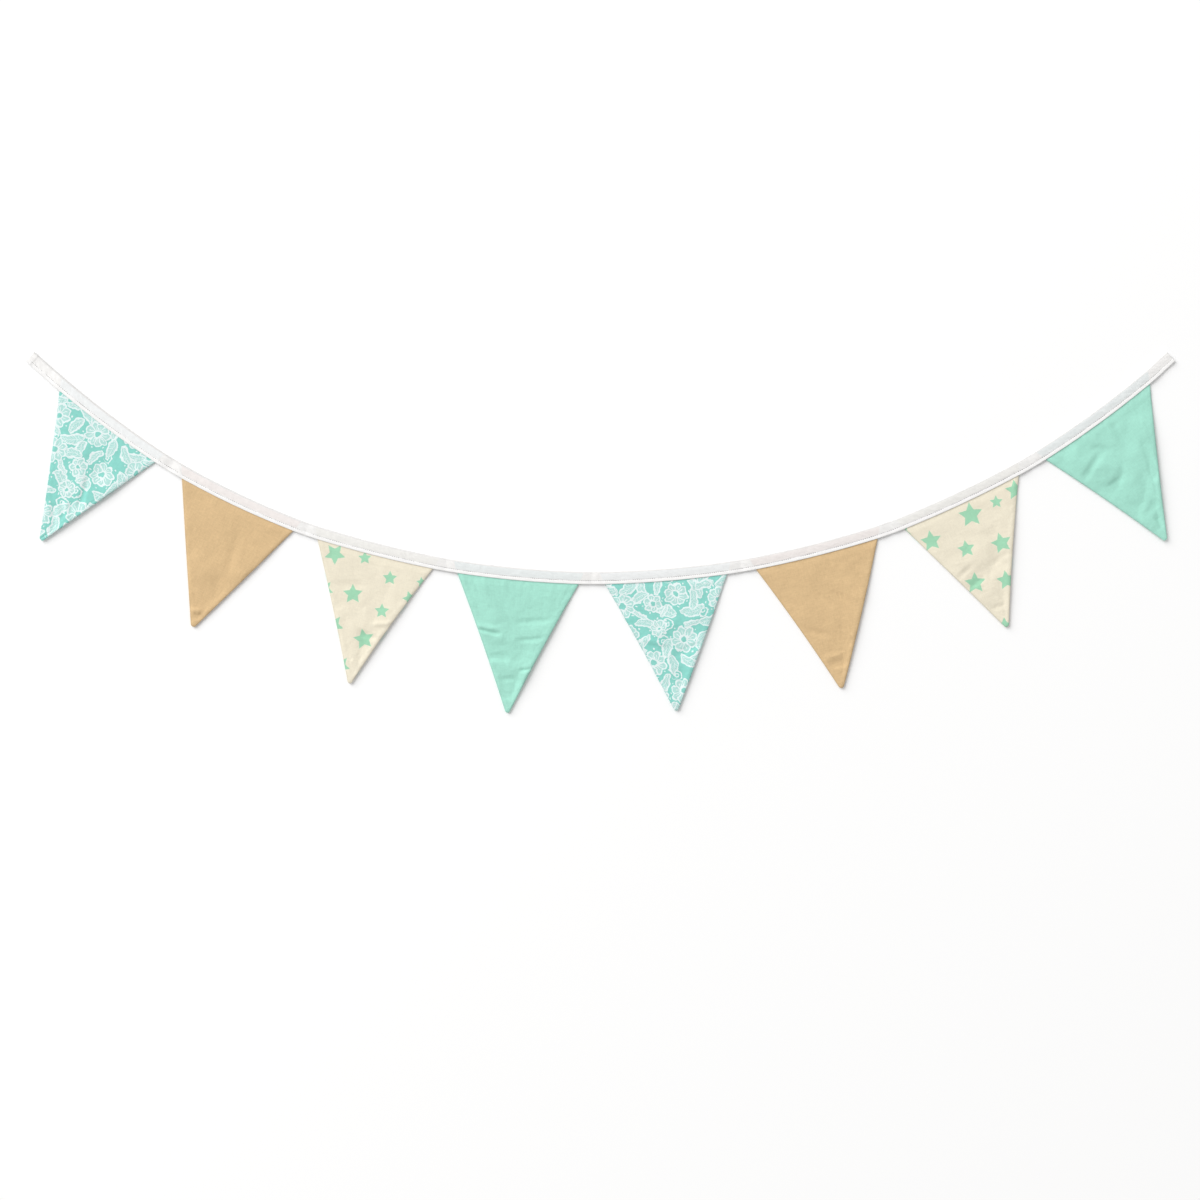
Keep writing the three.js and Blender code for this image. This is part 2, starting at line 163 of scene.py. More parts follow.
# The white line print on mint, a repeat of plain flowers, leaves, bars and curls. turn is in
# degrees.
REPEAT = 126.0
FLOWER_COLUMNS = ("x", "y", "radius", "turn", "petals")
FLOWER_ROWS = (
    (-39, 35, 16.8, 10, 8), (15, 45, 14.3, 0, 6), (45, 7, 16.8, 24, 9), (-11, -3, 15.1, 5, 7),
    (-45, -32, 15.1, 30, 8), (11, -42, 16, 12, 9), (50, -42, 11.8, 40, 6), (55, 52, 10.9, 15, 7),
)
LEAF_COLUMNS = ("x", "y", "length", "width", "turn", "bend", "blunt")
LEAF_ROWS = (
    (-13, 31, 31.7, 12.3, 62, 3, 2.0), (-58, 3, 28.2, 11.4, 102, -3, 2.0),
    (18, 18, 33.4, 12.3, -24, 4, 2.2), (-34, 8, 26.4, 10.6, 148, 3, 2.0),
    (20, -15, 31.7, 12.3, 38, -4, 2.0), (-20, -27, 29.9, 11.4, -58, 3, 2.2),
    (39, -21, 24.6, 9.7, 98, 2, 2.0), (-26, -52, 33.4, 12.3, 14, -4, 2.0),
    (37, 34, 22.9, 8.8, 58, 3, 2.0), (39, 56, 28.2, 10.6, -18, 4, 2.0),
    (-5, 59, 26.4, 9.7, 12, -3, 2.2), (61, -20, 24.6, 8.8, 74, 3, 2.0),
    (-60, 25, 26.4, 11.4, 70, 3, 2.0), (-23, 15, 22.9, 9.7, 30, -3, 2.0),
    (32, 25, 26.4, 11.4, 96, 3, 2.0), (17, 0, 26.4, 10.6, 80, 3, 2.2),
    (-25, -40, 26.4, 10.6, 84, -3, 2.0), (34, -34, 26.4, 11.4, 30, 3, 2.0),
    (-8, -24, 24.6, 10.6, 10, 3, 2.0), (-60, -55, 28.2, 11.4, -20, 3, 2.0),
    (0, 30, 22.9, 9.7, -60, 3, 2.0), (-27, 55, 21.1, 6.2, 14, 0, 8.0),
    (-3, 18, 19.4, 5.7, 20, 0, 8.0), (32, -55, 20.2, 5.3, -36, 0, 8.0),
    (-62, -52, 17.6, 4.8, 60, 0, 8.0),
)
CURL_COLUMNS = ("x", "y", "radius", "turn", "pitch")
CURL_ROWS = (
    (-59, 57, 9, 20, 4.6), (32, 24, 7, 200, 4.2), (-2, -23, 8, 90, 4.4), (-52, -10, 7, 300, 4.2),
    (32, -35, 8, 150, 4.4), (2, 37, 6, 40, 4.0), (-10, -57, 8, 250, 4.4), (59, 34, 8, 120, 4.4),
)


def read_table(columns: tuple, rows: tuple) -> list[dict]:
    """Names the cells of a table's rows.

    Args:
        columns: The columns' names.
        rows: The rows, each as long as columns.

    Returns:
        A dictionary for each row.
    """
    return [dict(zip(columns, row)) for row in rows]


def smooth(value: np.ndarray, low: float, high: float) -> np.ndarray:
    """A soft step from 0 at low to 1 at high.

    Args:
        value: Where to take the step.
        low: The value at which it starts.
        high: The value at which it ends.

    Returns:
        The step at each value.
    """
    t = np.clip((value - low) / (high - low), 0.0, 1.0)
    return t * t * (3.0 - 2.0 * t)


def ripple(x: np.ndarray, y: np.ndarray, size: float, seed: float) -> np.ndarray:
    """An uneven field of soft hills and hollows between -1 and 1.

    Args:
        x: Millimetres along the first side.
        y: Millimetres along the second side, shaped as x.
        size: About how far apart the hills are, in millimetres.
        seed: Which field of this size.

    Returns:
        The field, shaped as x.
    """
    flat = [noise.noise((a / size, b / size, seed)) for a, b in zip(x.ravel(), y.ravel())]
    return np.array(flat).reshape(x.shape)


def linear(red: float, green: float, blue: float) -> tuple[float, float, float, float]:
    """Turns a colour of a screen, from 0 to 255, into a shader's colour.

    Args:
        red: The red part.
        green: The green part.
        blue: The blue part.

    Returns:
        The linear colour with an alpha of 1.
    """
    parts = [c / 255.0 for c in (red, green, blue)]
    return (*[p / 12.92 if p <= 0.04045 else ((p + 0.055) / 1.055) ** 2.4 for p in parts], 1.0)


@dataclass(frozen=True)
class Ply:
    """Sizes of the cloth and the tape that the pieces share, as in the part's source."""

    ply: float = 1.0
    gap: float = 0.3
    tape_width: float = 15.8
    head_depth: float = 10.5
    head_shelf: float = 1.5
    drape: float = 16.0
    tip_radius: float = 3.8
    side_reach: float = 0.34
    side_from: float = 0.4
    tip_from: float = 0.72

    @property
    def layer(self) -> float:
        """A ply and the gap over it."""
        return self.ply + self.gap


PLY = Ply()


@dataclass
class TapeLine:
    """The tape's lower edge: a chain of arcs, flat over the pennants and tighter between them."""

    start_x: float = -746.366
    start_y: float = 222.773
    start_fall: float = 42.4
    tail: float = 44.0
    tail_turn: float = 4.8
    arcs: np.ndarray = field(init=False)
    length: float = field(init=False)

    def __post_init__(self) -> None:
        """Lays the arcs end to end."""
        spans = []
        for row in read_table(PENNANT_COLUMNS, PENNANT_ROWS):
            spans += [(row["gap"], row["turn"]), (row["width"], row["bend"])]
        spans.append((self.tail, self.tail_turn))
        s, x, y = 0.0, self.start_x, self.start_y
        heading = -math.radians(self.start_fall)
        arcs = []
        for length, turn in spans:
            curve = math.radians(turn) / length
            arcs.append((s, x, y, heading, curve))
            after = heading + curve * length
            x += (math.sin(after) - math.sin(heading)) / curve
            y -= (math.cos(after) - math.cos(heading)) / curve
            s, heading = s + length, after
        self.arcs = np.array(arcs)
        self.length = s

    def place(self, s: np.ndarray, up: np.ndarray) -> tuple[np.ndarray, np.ndarray]:
        """Where points of the tape lie.

        Args:
            s: Arc lengths from the tape's left end.
            up: Distances from the lower edge towards the fold.

        Returns:
            The points' x and y.
        """
        s, up = np.broadcast_arrays(np.asarray(s, float), np.asarray(up, float))
        arc = np.clip(np.searchsorted(self.arcs[:, 0], s, side="right") - 1, 0, None)
        s0, x0, y0, heading, curve = np.moveaxis(self.arcs[arc], -1, 0)
        here = heading + curve * (s - s0)
        x = x0 + (np.sin(here) - np.sin(heading)) / curve - up * np.sin(here)
        y = y0 - (np.cos(here) - np.cos(heading)) / curve + up * np.cos(here)
        return x, y

    def span(self, index: int) -> tuple[float, float]:
        """Where a pennant starts and ends along the tape.

        Args:
            index: The pennant's place in the table, from 0.

        Returns:
            The arc lengths of its left and right corners.
        """
        start = self.arcs[2 * index + 1, 0]
        return start, start + PENNANT_ROWS[index][3]


def make_mesh(name: str, points: np.ndarray, faces: list, uv: np.ndarray) -> bpy.types.Object:
    """Makes a smooth piece with a cloth map.

    Args:
        name: The piece's name.
        points: The points, in millimetres.
        faces: The faces, as tuples of point numbers.
        uv: The place of each point on the flat cloth, in millimetres.

    Returns:
        The new object, in metres and in the scene.
    """
    mesh = bpy.data.meshes.new(name)
    mesh.from_pydata((points * MM).tolist(), [], faces)
    layer = mesh.uv_layers.new(name="cloth")
    corners = np.zeros(len(mesh.loops), np.int32)
    mesh.loops.foreach_get("vertex_index", corners)
    layer.data.foreach_set("uv", (uv[corners] * MM).astype(np.float32).ravel())
    mesh.polygons.foreach_set("use_smooth", [True] * len(mesh.polygons))
    mesh.update()
    piece = bpy.data.objects.new(name, mesh)
    bpy.context.collection.objects.link(piece)
    return piece


@dataclass
class Sketch:
    """Writes sums of values, vectors and colours into a node tree."""

    tree: bpy.types.NodeTree

    def node(self, kind: str, **settings: object) -> bpy.types.Node:
        """Adds a node.

        Args:
            kind: The node's type, without its ShaderNode.
            settings: Its properties.

        Returns:
            The node.
        """
        made = self.tree.nodes.new(f"ShaderNode{kind}")
        for name, value in settings.items():
            setattr(made, name, value)
        return made

    def feed(self, socket: bpy.types.NodeSocket, value: object) -> None:
        """Links a socket to another, or sets its value.

        Args:
            socket: The input.
            value: An output socket or a plain value.
        """
        if isinstance(value, bpy.types.NodeSocket):
            self.tree.links.new(value, socket)
        else:
            socket.default_value = value

    def math(self, operation: str, *values: object) -> bpy.types.NodeSocket:
        """A sum of values.

        Args:
            operation: The math node's operation.
            values: Its inputs.

        Returns:
            The result's socket.
        """
        made = self.node("Math", operation=operation)
        for socket, value in zip(made.inputs, values):
            self.feed(socket, value)
        return made.outputs[0]

    def times(self, a: object, b: object) -> bpy.types.NodeSocket:
        """The product of two values."""
        return self.math("MULTIPLY", a, b)

    def plus(self, a: object, b: object) -> bpy.types.NodeSocket:
        """The sum of two values."""
        return self.math("ADD", a, b)

    def minus(self, a: object, b: object) -> bpy.types.NodeSocket:
        """The first value less the second."""
        return self.math("SUBTRACT", a, b)

    def share(self, a: object, b: object) -> bpy.types.NodeSocket:
        """The first value over the second."""
        return self.math("DIVIDE", a, b)

    def times_plus(self, value: object, scale: object, start: object) -> bpy.types.NodeSocket:
        """A value times a scale, on top of a start."""
        return self.math("MULTIPLY_ADD", value, scale, start)

    def most(self, *values: object) -> bpy.types.NodeSocket:
        """The largest of several values.

        Args:
            values: The values.

        Returns:
            The result's socket.
        """
        best = values[0]
        for value in values[1:]:
            best = self.math("MAXIMUM", best, value)
        return best

    def vector(self, operation: str, *values: object) -> bpy.types.NodeSocket:
        """A sum of vectors.

        Args:
            operation: The vector math node's operation.
            values: Its inputs.

        Returns:
            The result's socket, a value where the operation gives one.
        """
        made = self.node("VectorMath", operation=operation)
        for socket, value in zip(made.inputs, values):
            self.feed(socket, value)
        return made.outputs["Value" if operation in ("LENGTH", "DOT_PRODUCT") else "Vector"]

    def scaled(self, vector: object, scale: float) -> bpy.types.NodeSocket:
        """A vector times a number.

        Args:
            vector: The vector.
            scale: The number.

        Returns:
            The result's socket.
        """
        made = self.node("VectorMath", operation="SCALE")
        self.feed(made.inputs["Vector"], vector)
        self.feed(made.inputs["Scale"], scale)
        return made.outputs["Vector"]

    def step(self, value: object, low: object, high: object) -> bpy.types.NodeSocket:
        """A soft step from 0 at low to 1 at high, where low may be above high.

        Args:
            value: What is stepped.
            low: Where it is 0.
            high: Where it is 1.

        Returns:
            The step's socket.
        """
        made = self.node("MapRange", interpolation_type="SMOOTHSTEP")
        for socket, each in zip(made.inputs[:3], (value, low, high)):
            self.feed(socket, each)
        return made.outputs[0]

    def mix(self, factor: object, a: object, b: object, blend: str = "MIX") -> bpy.types.NodeSocket:
        """A mix of two colours.

        Args:
            factor: How much of b.
            a: The first colour.
            b: The second colour.
            blend: The blend type.

        Returns:
            The colour's socket.
        """
        made = self.node("Mix", data_type="RGBA", blend_type=blend)
        self.feed(made.inputs["Factor"], factor)
        self.feed(made.inputs[6], a)
        self.feed(made.inputs[7], b)
        return made.outputs[2]

    def noise(self, vector: object, scale: float, detail: float = 2.0) -> bpy.types.NodeSocket:
        """Noise between 0 and 1.

        Args:
            vector: Where it is taken.
            scale: How fine it is.
            detail: How many finer layers it has.

        Returns:
            The noise's socket.
        """
        made = self.node("TexNoise")
        self.feed(made.inputs["Vector"], vector)
        self.feed(made.inputs["Scale"], scale)
        self.feed(made.inputs["Detail"], detail)
        return made.outputs[0]

    def group(self, tree: bpy.types.NodeTree, **inputs: object) -> bpy.types.Node:
        """Places a node group.

        Args:
            tree: The group.
            inputs: Its inputs by name.

        Returns:
            The group's node.
        """
        made = self.node("Group", node_tree=tree)
        for name, value in inputs.items():
            self.feed(made.inputs[name], value)
        return made


def axes(turn: float) -> tuple[tuple, tuple]:
    """The directions along a turned motif and aside of it.

    Args:
        turn: How far it is turned, anticlockwise, in degrees.

    Returns:
        The two directions.
    """
    cosine, sine = math.cos(math.radians(turn)), math.sin(math.radians(turn))
    return (cosine, sine, 0.0), (-sine, cosine, 0.0)


def new_group(name: str, inputs: dict, outputs: dict) -> tuple[Sketch, dict, bpy.types.Node]:
    """Starts a node group.

    Args:
        name: The group's name.
        inputs: The kind of each input socket, by name.
        outputs: The kind of each output socket, by name.

    Returns:
        A sketch of the group, its input sockets by name, and its output node.
    """
    tree = bpy.data.node_groups.new(name, "ShaderNodeTree")
    for side, sockets in (("INPUT", inputs), ("OUTPUT", outputs)):
        for label, kind in sockets.items():
            tree.interface.new_socket(label, in_out=side, socket_type=f"NodeSocket{kind}")
    source = tree.nodes.new("NodeGroupInput")
    result = tree.nodes.new("NodeGroupOutput")
    return Sketch(tree), {label: source.outputs[label] for label in inputs}, result


# The inputs that every printed motif has: the cloth's map, the motif's place and its directions.
MOTIF_INPUTS = {"Vector": "Vector", "Centre": "Vector", "Along": "Vector", "Aside": "Vector"}
PRINT_OUTPUTS = {"Line": "Float", "Area": "Float"}


@dataclass
class ClothEffects:
    """The node groups that the cottons share.

    A pen is half the width of a drawn line, in millimetres. A flower's other sizes are shares of
    its radius, and a wash or a vein's strength is a share of the full white.
    """

    thread_long: float = 0.07
    thread_short: float = 1.1
    thread_other: float = 5.0
    thread_uneven: float = 1.4
    star_side: tuple[float, float] = (0.436, 0.9)
    star_blur: float = 0.03
    pen_blur: tuple[float, float] = (0.3, 0.2)
    outline_pen: float = 1.05
    split_pen: float = 0.75
    vein_pen: float = 0.5
    rib_pen: float = 0.3
    dot_pen: float = 1.0
    petal_round: float = 1.35
    petal_depth: float = 0.26
    petal_root: float = 0.72
    eye: float = 0.30
    throat: float = 0.34
    vein_end: float = 0.72
    dot_ring: float = 1.14
    flower_wash: float = 0.36
    leaf_taper: float = 0.7
    leaf_slant: float = 1.1
    leaf_comb: float = 1.7
    vein_edge: tuple[float, float] = (-0.2, 0.5)
    leaf_vein: float = 0.70
    leaf_wash: float = 0.30
    curl_end: float = 0.4

    def __post_init__(self) -> None:
        """Builds each group once."""
        self.weave = self.build_weave()
        self.star = self.build_star()
        self.flower = self.build_flower()
        self.leaf = self.build_leaf()
        self.curl = self.build_curl()

    def build_weave(self) -> bpy.types.NodeTree:
        """Threads of a plain weave with uneven yarn, on a map in millimetres.

        Returns:
            The group.
        """
        inputs = {"Vector": "Vector", "Pitch": "Float"}
        outputs = {"Height": "Float", "Shade": "Float"}
        sketch, given, result = new_group("plain_weave", inputs, outputs)
        parts = sketch.node("SeparateXYZ")
        sketch.feed(parts.inputs[0], given["Vector"])
        turn = sketch.share(math.tau, given["Pitch"])
        along = sketch.math("SINE", sketch.times(parts.outputs[0], turn))
        over = sketch.math("SINE", sketch.times(parts.outputs[1], turn))
        cross = sketch.times(along, over)
        upright = (self.thread_short, self.thread_long, 0.0)
        level = (self.thread_long, self.thread_short, self.thread_other)
        warp = sketch.noise(sketch.vector("MULTIPLY", given["Vector"], upright), 1.0)
        weft = sketch.noise(sketch.vector("MULTIPLY", given["Vector"], level), 1.0)
        yarn = sketch.plus(warp, weft)
        uneven = sketch.times(yarn, self.thread_uneven)
        sketch.feed(result.inputs["Height"], sketch.times_plus(cross, 0.5, uneven))
        sketch.feed(result.inputs["Shade"], sketch.times(yarn, 0.5))
        return sketch.tree

    def build_star(self) -> bpy.types.NodeTree:
        """A five-pointed star, 1 inside and 0 outside.

        Returns:
            The group.
        """
        inputs = {**MOTIF_INPUTS, "Radius": "Float"}
        sketch, given, result = new_group("printed_star", inputs, {"Mask": "Float"})
        place = sketch.vector("SUBTRACT", given["Vector"], given["Centre"])
        along = sketch.vector("DOT_PRODUCT", place, given["Along"])
        aside = sketch.vector("DOT_PRODUCT", place, given["Aside"])
        angle = sketch.math("PINGPONG", sketch.math("ARCTAN2", aside, along), math.pi / 5)
        far = sketch.share(sketch.vector("LENGTH", place), given["Radius"])
        toward = sketch.times(far, sketch.math("COSINE", angle))
        aside = sketch.times(far, sketch.math("SINE", angle))
        slant = sketch.times(aside, self.star_side[1])
        edge = sketch.times_plus(sketch.minus(toward, 1.0), self.star_side[0], slant)
        sketch.feed(result.inputs["Mask"], sketch.step(edge, self.star_blur, -self.star_blur))
        return sketch.tree

    def local(self, sketch: Sketch, given: dict) -> tuple:
        """A motif's own coordinates in the repeat.

        Args:
            sketch: The motif's group.
            given: Its inputs, with Vector, Centre, Along and Aside.

        Returns:
            How far a point is from the motif's centre, along its axis and aside of it.
        """
        half = REPEAT / 2
        place = sketch.vector("SUBTRACT", given["Vector"], given["Centre"])
        place = sketch.vector("WRAP", place, (half, half, half), (-half, -half, -half))
        along = sketch.vector("DOT_PRODUCT", place, given["Along"])
        aside = sketch.vector("DOT_PRODUCT", place, given["Aside"])
        return sketch.vector("LENGTH", place), along, aside

    def line(self, sketch: Sketch, distance: object, half: float) -> bpy.types.NodeSocket:
        """A drawn line.

        Args:
            sketch: The motif's group.
            distance: How far a point is from the line's middle.
            half: Half the line's width.

        Returns:
            1 on the line and 0 off it.
        """
        outer, inner = self.pen_blur
        return sketch.step(sketch.math("ABSOLUTE", distance), half + outer, half - inner)

    def build_flower(self) -> bpy.types.NodeTree:
        """A round flower: scalloped petals, a ringed eye, veins and a ring of dots.

        Returns:
            The group.
        """
        inputs = {**MOTIF_INPUTS, "Radius": "Float", "Petals": "Float"}
        sketch, given, result = new_group("line_flower", inputs, PRINT_OUTPUTS)
        far, toward, across = self.local(sketch, given)
        angle = sketch.math("ARCTAN2", across, toward)
        radius = given["Radius"]
        sector = sketch.share(math.pi, given["Petals"])
        off = sketch.math("PINGPONG", angle, sector)
        wave = sketch.times(sketch.share(off, sector), self.petal_round)
        lobe = sketch.math("COSINE", wave)
        scallop = sketch.times_plus(lobe, self.petal_depth, self.petal_root)
        edge = sketch.times(radius, scallop)
        outline = self.line(sketch, sketch.minus(far, edge), self.outline_pen)
        eye = self.line(sketch, sketch.times_plus(radius, -self.eye, far), self.outline_pen)
        aside = sketch.times(far, sketch.minus(sector, off))
        inside = sketch.math("LESS_THAN", far, edge)
        beyond = sketch.math("GREATER_THAN", far, sketch.times(radius, self.throat))
        petal = sketch.times(inside, beyond)
        split = sketch.times(self.line(sketch, aside, self.split_pen), petal)
        short = sketch.math("LESS_THAN", far, sketch.times(radius, self.vein_end))
        vein = sketch.times(self.line(sketch, sketch.times(far, off), self.vein_pen), petal)
        vein = sketch.times(vein, short)
        out = sketch.times_plus(radius, -self.dot_ring, far)
        squares = sketch.plus(sketch.times(out, out), sketch.times(aside, aside))
        dots = self.line(sketch, sketch.math("SQRT", squares), self.dot_pen)
        wash = sketch.times(petal, self.flower_wash)
        sketch.feed(result.inputs["Line"], sketch.most(outline, eye, split, vein, dots, wash))
        sketch.feed(result.inputs["Area"], sketch.most(inside, outline))
        return sketch.tree

    def build_leaf(self) -> bpy.types.NodeTree:
        """A leaf or a blunt bar: outline, rib and slanting veins on a bent axis.

        Returns:
            The group.
        """
        sizes = {size: "Float" for size in ("Length", "Width", "Bend", "Blunt")}
        sketch, given, result = new_group("line_leaf", {**MOTIF_INPUTS, **sizes}, PRINT_OUTPUTS)
        toward, across = self.local(sketch, given)[1:]
        half = sketch.times(given["Length"], 0.5)
        along = sketch.share(toward, half)
        reach = sketch.math("ABSOLUTE", along)
        arch = sketch.minus(1.0, sketch.times(along, along))
        aside = sketch.minus(across, sketch.times(given["Bend"], arch))
        aside = sketch.math("ABSOLUTE", aside)
        full = sketch.minus(1.0, sketch.math("POWER", reach, given["Blunt"]))
        full = sketch.math("POWER", sketch.most(full, 0.0), self.leaf_taper)
        side = sketch.times(sketch.times(given["Width"], 0.5), full)
        within = sketch.math("LESS_THAN", reach, 1.0)
        over = sketch.minus(aside, side)
        outline = sketch.times(self.line(sketch, over, self.outline_pen), within)
        inside = sketch.times(sketch.math("LESS_THAN", over, 0.0), within)
        rib = sketch.times(self.line(sketch, aside, self.rib_pen), inside)
        slant = sketch.times_plus(aside, self.leaf_slant, toward)
        comb = sketch.math("PINGPONG", slant, self.leaf_comb)
        comb = sketch.minus(comb, self.leaf_comb / 2)
        veins = sketch.times(sketch.step(comb, *self.vein_edge), inside)
        veins = sketch.times(veins, self.leaf_vein)
        wash = sketch.times(inside, self.leaf_wash)
        sketch.feed(result.inputs["Line"], sketch.most(outline, rib, veins, wash))
        sketch.feed(result.inputs["Area"], sketch.most(inside, outline))
        return sketch.tree

    def build_curl(self) -> bpy.types.NodeTree:
        """A small spiral tendril.

        Returns:
            The group.
        """
        inputs = {**MOTIF_INPUTS, "Radius": "Float", "Pitch": "Float"}
        sketch, given, result = new_group("line_curl", inputs, {"Line": "Float"})
        far, toward, across = self.local(sketch, given)
        angle = sketch.math("ARCTAN2", across, toward)
        turns = sketch.share(far, given["Pitch"])
        turns = sketch.plus(turns, sketch.share(angle, math.tau))
        away = sketch.minus(sketch.math("FRACT", turns), 0.5)
        spiral = self.line(sketch, sketch.times(away, given["Pitch"]), self.split_pen)
        within = sketch.minus(given["Radius"], self.curl_end)
        inside = sketch.step(far, given["Radius"], within)
        sketch.feed(result.inputs["Line"], sketch.times(spiral, inside))
        return sketch.tree


@dataclass(frozen=True)
class CottonFinish:
    """A matt plain-weave cotton in one colour, the base of every finish here."""

    effects: ClothEffects
    name: str
    colour: tuple[float, float, float, float]
    pitch: float = 0.52
    mottle: float = 0.09
    slub: float = 0.20
    grain: float = 0.10
    weave: float = 0.00018
    roughness: float = 0.88
    rough_spread: float = 0.08
    sheen: float = 0.02
    gloss: float = 0.25
    relief: float = 0.6
    blotch_scale: float = 0.045
    grain_scale: float = 0.36
    # How much darker the colour is painted near a panel's outline: painted shade of the rolled
    # edge.
    painted_edge_shade: float = 0.17

    def varied(self, sketch: Sketch, value: object, amount: float) -> bpy.types.NodeSocket:
        """A shade about 1 that a value from 0 to 1 makes lighter or darker.

        Args:
            sketch: The material's tree.
            value: What varies it.
            amount: How much it varies in all.

        Returns:
            The shade's socket.
        """
        return sketch.times_plus(value, amount, 1 - amount / 2)

    def ground(self, sketch: Sketch, cloth: bpy.types.NodeSocket) -> bpy.types.NodeSocket:
        """The cloth's colour before its weave and wear.

        Args:
            sketch: The material's tree.
            cloth: The place on the flat cloth, in millimetres. Not used here.

        Returns:
            The colour's socket.
        """
        colour = sketch.node("RGB")
        colour.outputs[0].default_value = self.colour
        return colour.outputs[0]

    def build(self) -> bpy.types.Material:
        """Makes the material, with its colour, uneven yarn, mottling, weave and painted shade near
        the panels' edges.

        Returns:
            The material.
        """
        material = bpy.data.materials.new(self.name)
        material.use_nodes = True
        sketch = Sketch(material.node_tree)
        shader = material.node_tree.nodes["Principled BSDF"]
        shader.inputs["Sheen Weight"].default_value = self.sheen
        shader.inputs["Specular IOR Level"].default_value = self.gloss
        cloth = sketch.scaled(sketch.node("UVMap", uv_map="cloth").outputs[0], 1 / MM)
        threads = sketch.group(self.effects.weave, Vector=cloth, Pitch=self.pitch)
        shade = self.varied(sketch, threads.outputs["Shade"], self.slub)
        blotch = sketch.noise(cloth, self.blotch_scale, 3.0)
        blotch = self.varied(sketch, blotch, self.mottle)
        grain = self.varied(sketch, sketch.noise(cloth, self.grain_scale), self.grain)
        # Painted shade: the seam attribute darkens the colour near each panel's outline, in place
        # of the shade of its rolled edge.
        edge = sketch.node("Attribute", attribute_name="seam")
        turned = sketch.times_plus(edge.outputs["Fac"], -self.painted_edge_shade, 1.0)
        tone = sketch.times(sketch.times(shade, blotch), sketch.times(grain, turned))
        ground = self.ground(sketch, cloth)
        sketch.feed(shader.inputs["Base Color"], sketch.scaled(ground, tone))
        smoothest = self.roughness - self.rough_spread / 2
        rough = sketch.times_plus(threads.outputs["Shade"], self.rough_spread, smoothest)
        sketch.feed(shader.inputs["Roughness"], rough)
        bump = sketch.node("Bump")
        bump.inputs["Strength"].default_value = self.relief
        bump.inputs["Distance"].default_value = self.weave
        sketch.feed(bump.inputs["Height"], threads.outputs["Height"])
        sketch.feed(shader.inputs["Normal"], bump.outputs[0])
        return material


@dataclass(frozen=True)
class StarCotton(CottonFinish):
    """Cream cotton with printed green stars."""

    star_colour: tuple[float, float, float, float] = linear(163, 217, 183)
    fleck_colour: tuple[float, float, float, float] = linear(216, 198, 160)
    fleck_scale: float = 0.42
    fleck_edge: tuple[float, float] = (0.64, 0.76)
    fleck_strength: float = 0.25
    wobble_scale: float = 0.45
    wobble: float = 0.9

    def ground(self, sketch: Sketch, cloth: bpy.types.NodeSocket) -> bpy.types.NodeSocket:
        """The cream with its flecks and its stars.

        Args:
            sketch: The material's tree.
            cloth: The place on the flat cloth, in millimetres.

        Returns:
            The colour's socket.
        """
        plain = CottonFinish.ground(self, sketch, cloth)
        fleck = sketch.step(sketch.noise(cloth, self.fleck_scale), *self.fleck_edge)
        fleck = sketch.times(fleck, self.fleck_strength)
        plain = sketch.mix(fleck, plain, self.fleck_colour)
        drift = sketch.noise(cloth, self.wobble_scale, 1.0)
        shift = sketch.vector("SUBTRACT", drift, (0.5, 0.5, 0.5))
        place = sketch.vector("ADD", cloth, sketch.scaled(shift, self.wobble))
        total = 0.0
        for row in read_table(STAR_COLUMNS, STAR_ROWS):
            cut = STAR_CUTS[row["pennant"]]
            centre = (cut[0] + row["across"], cut[1] - row["down"], 0.0)
            along, aside = axes(90.0 + row["turn"])
            star = sketch.group(
                self.effects.star, Vector=place, Centre=centre, Along=along, Aside=aside,
                Radius=STAR_GROWTH * row["radius"],
            )
            total = sketch.most(total, star.outputs["Mask"])
        return sketch.mix(total, plain, self.star_colour)


@dataclass(frozen=True)
class FloralCotton(CottonFinish):
    """Mint cotton with a white line print of flowers, leaves, bars and curls."""

    line_colour: tuple[float, float, float, float] = linear(236, 246, 246)
    line_strength: float = 0.94
    drift_scale: float = 0.11
    drift: float = 9.0

    def ground(self, sketch: Sketch, cloth: bpy.types.NodeSocket) -> bpy.types.NodeSocket:
        """The mint under its print.

        Args:
            sketch: The material's tree.
            cloth: The place on the flat cloth, in millimetres.

        Returns:
            The colour's socket.
        """
        plain = CottonFinish.ground(self, sketch, cloth)
        drift = sketch.node("TexNoise")
        sketch.feed(drift.inputs["Vector"], cloth)
        drift.inputs["Scale"].default_value = self.drift_scale
        shift = sketch.vector("SUBTRACT", drift.outputs["Color"], (0.5, 0.5, 0.5))
        place = sketch.vector("ADD", cloth, sketch.scaled(shift, self.drift))
        place = sketch.vector("MULTIPLY", place, (1.0, 1.0, 0.0))
        total = 0.0
        tables = (
            (self.effects.curl, CURL_COLUMNS, CURL_ROWS),
            (self.effects.leaf, LEAF_COLUMNS, LEAF_ROWS),
            (self.effects.flower, FLOWER_COLUMNS, FLOWER_ROWS),
        )
        for tree, columns, rows in tables:
            for row in read_table(columns, rows):
                sizes = {key.capitalize(): float(row[key]) for key in columns[2:] if key != "turn"}
                along, aside = axes(row["turn"])
                motif = sketch.group(
                    tree, Vector=place, Centre=(row["x"], row["y"], 0.0),
                    Along=along, Aside=aside, **sizes,
                )
                area = motif.outputs.get("Area")
                if area is not None:
                    total = sketch.times(total, sketch.minus(1.0, area))
                total = sketch.most(total, motif.outputs["Line"])
        total = sketch.times(total, self.line_strength)
        return sketch.mix(total, plain, self.line_colour)


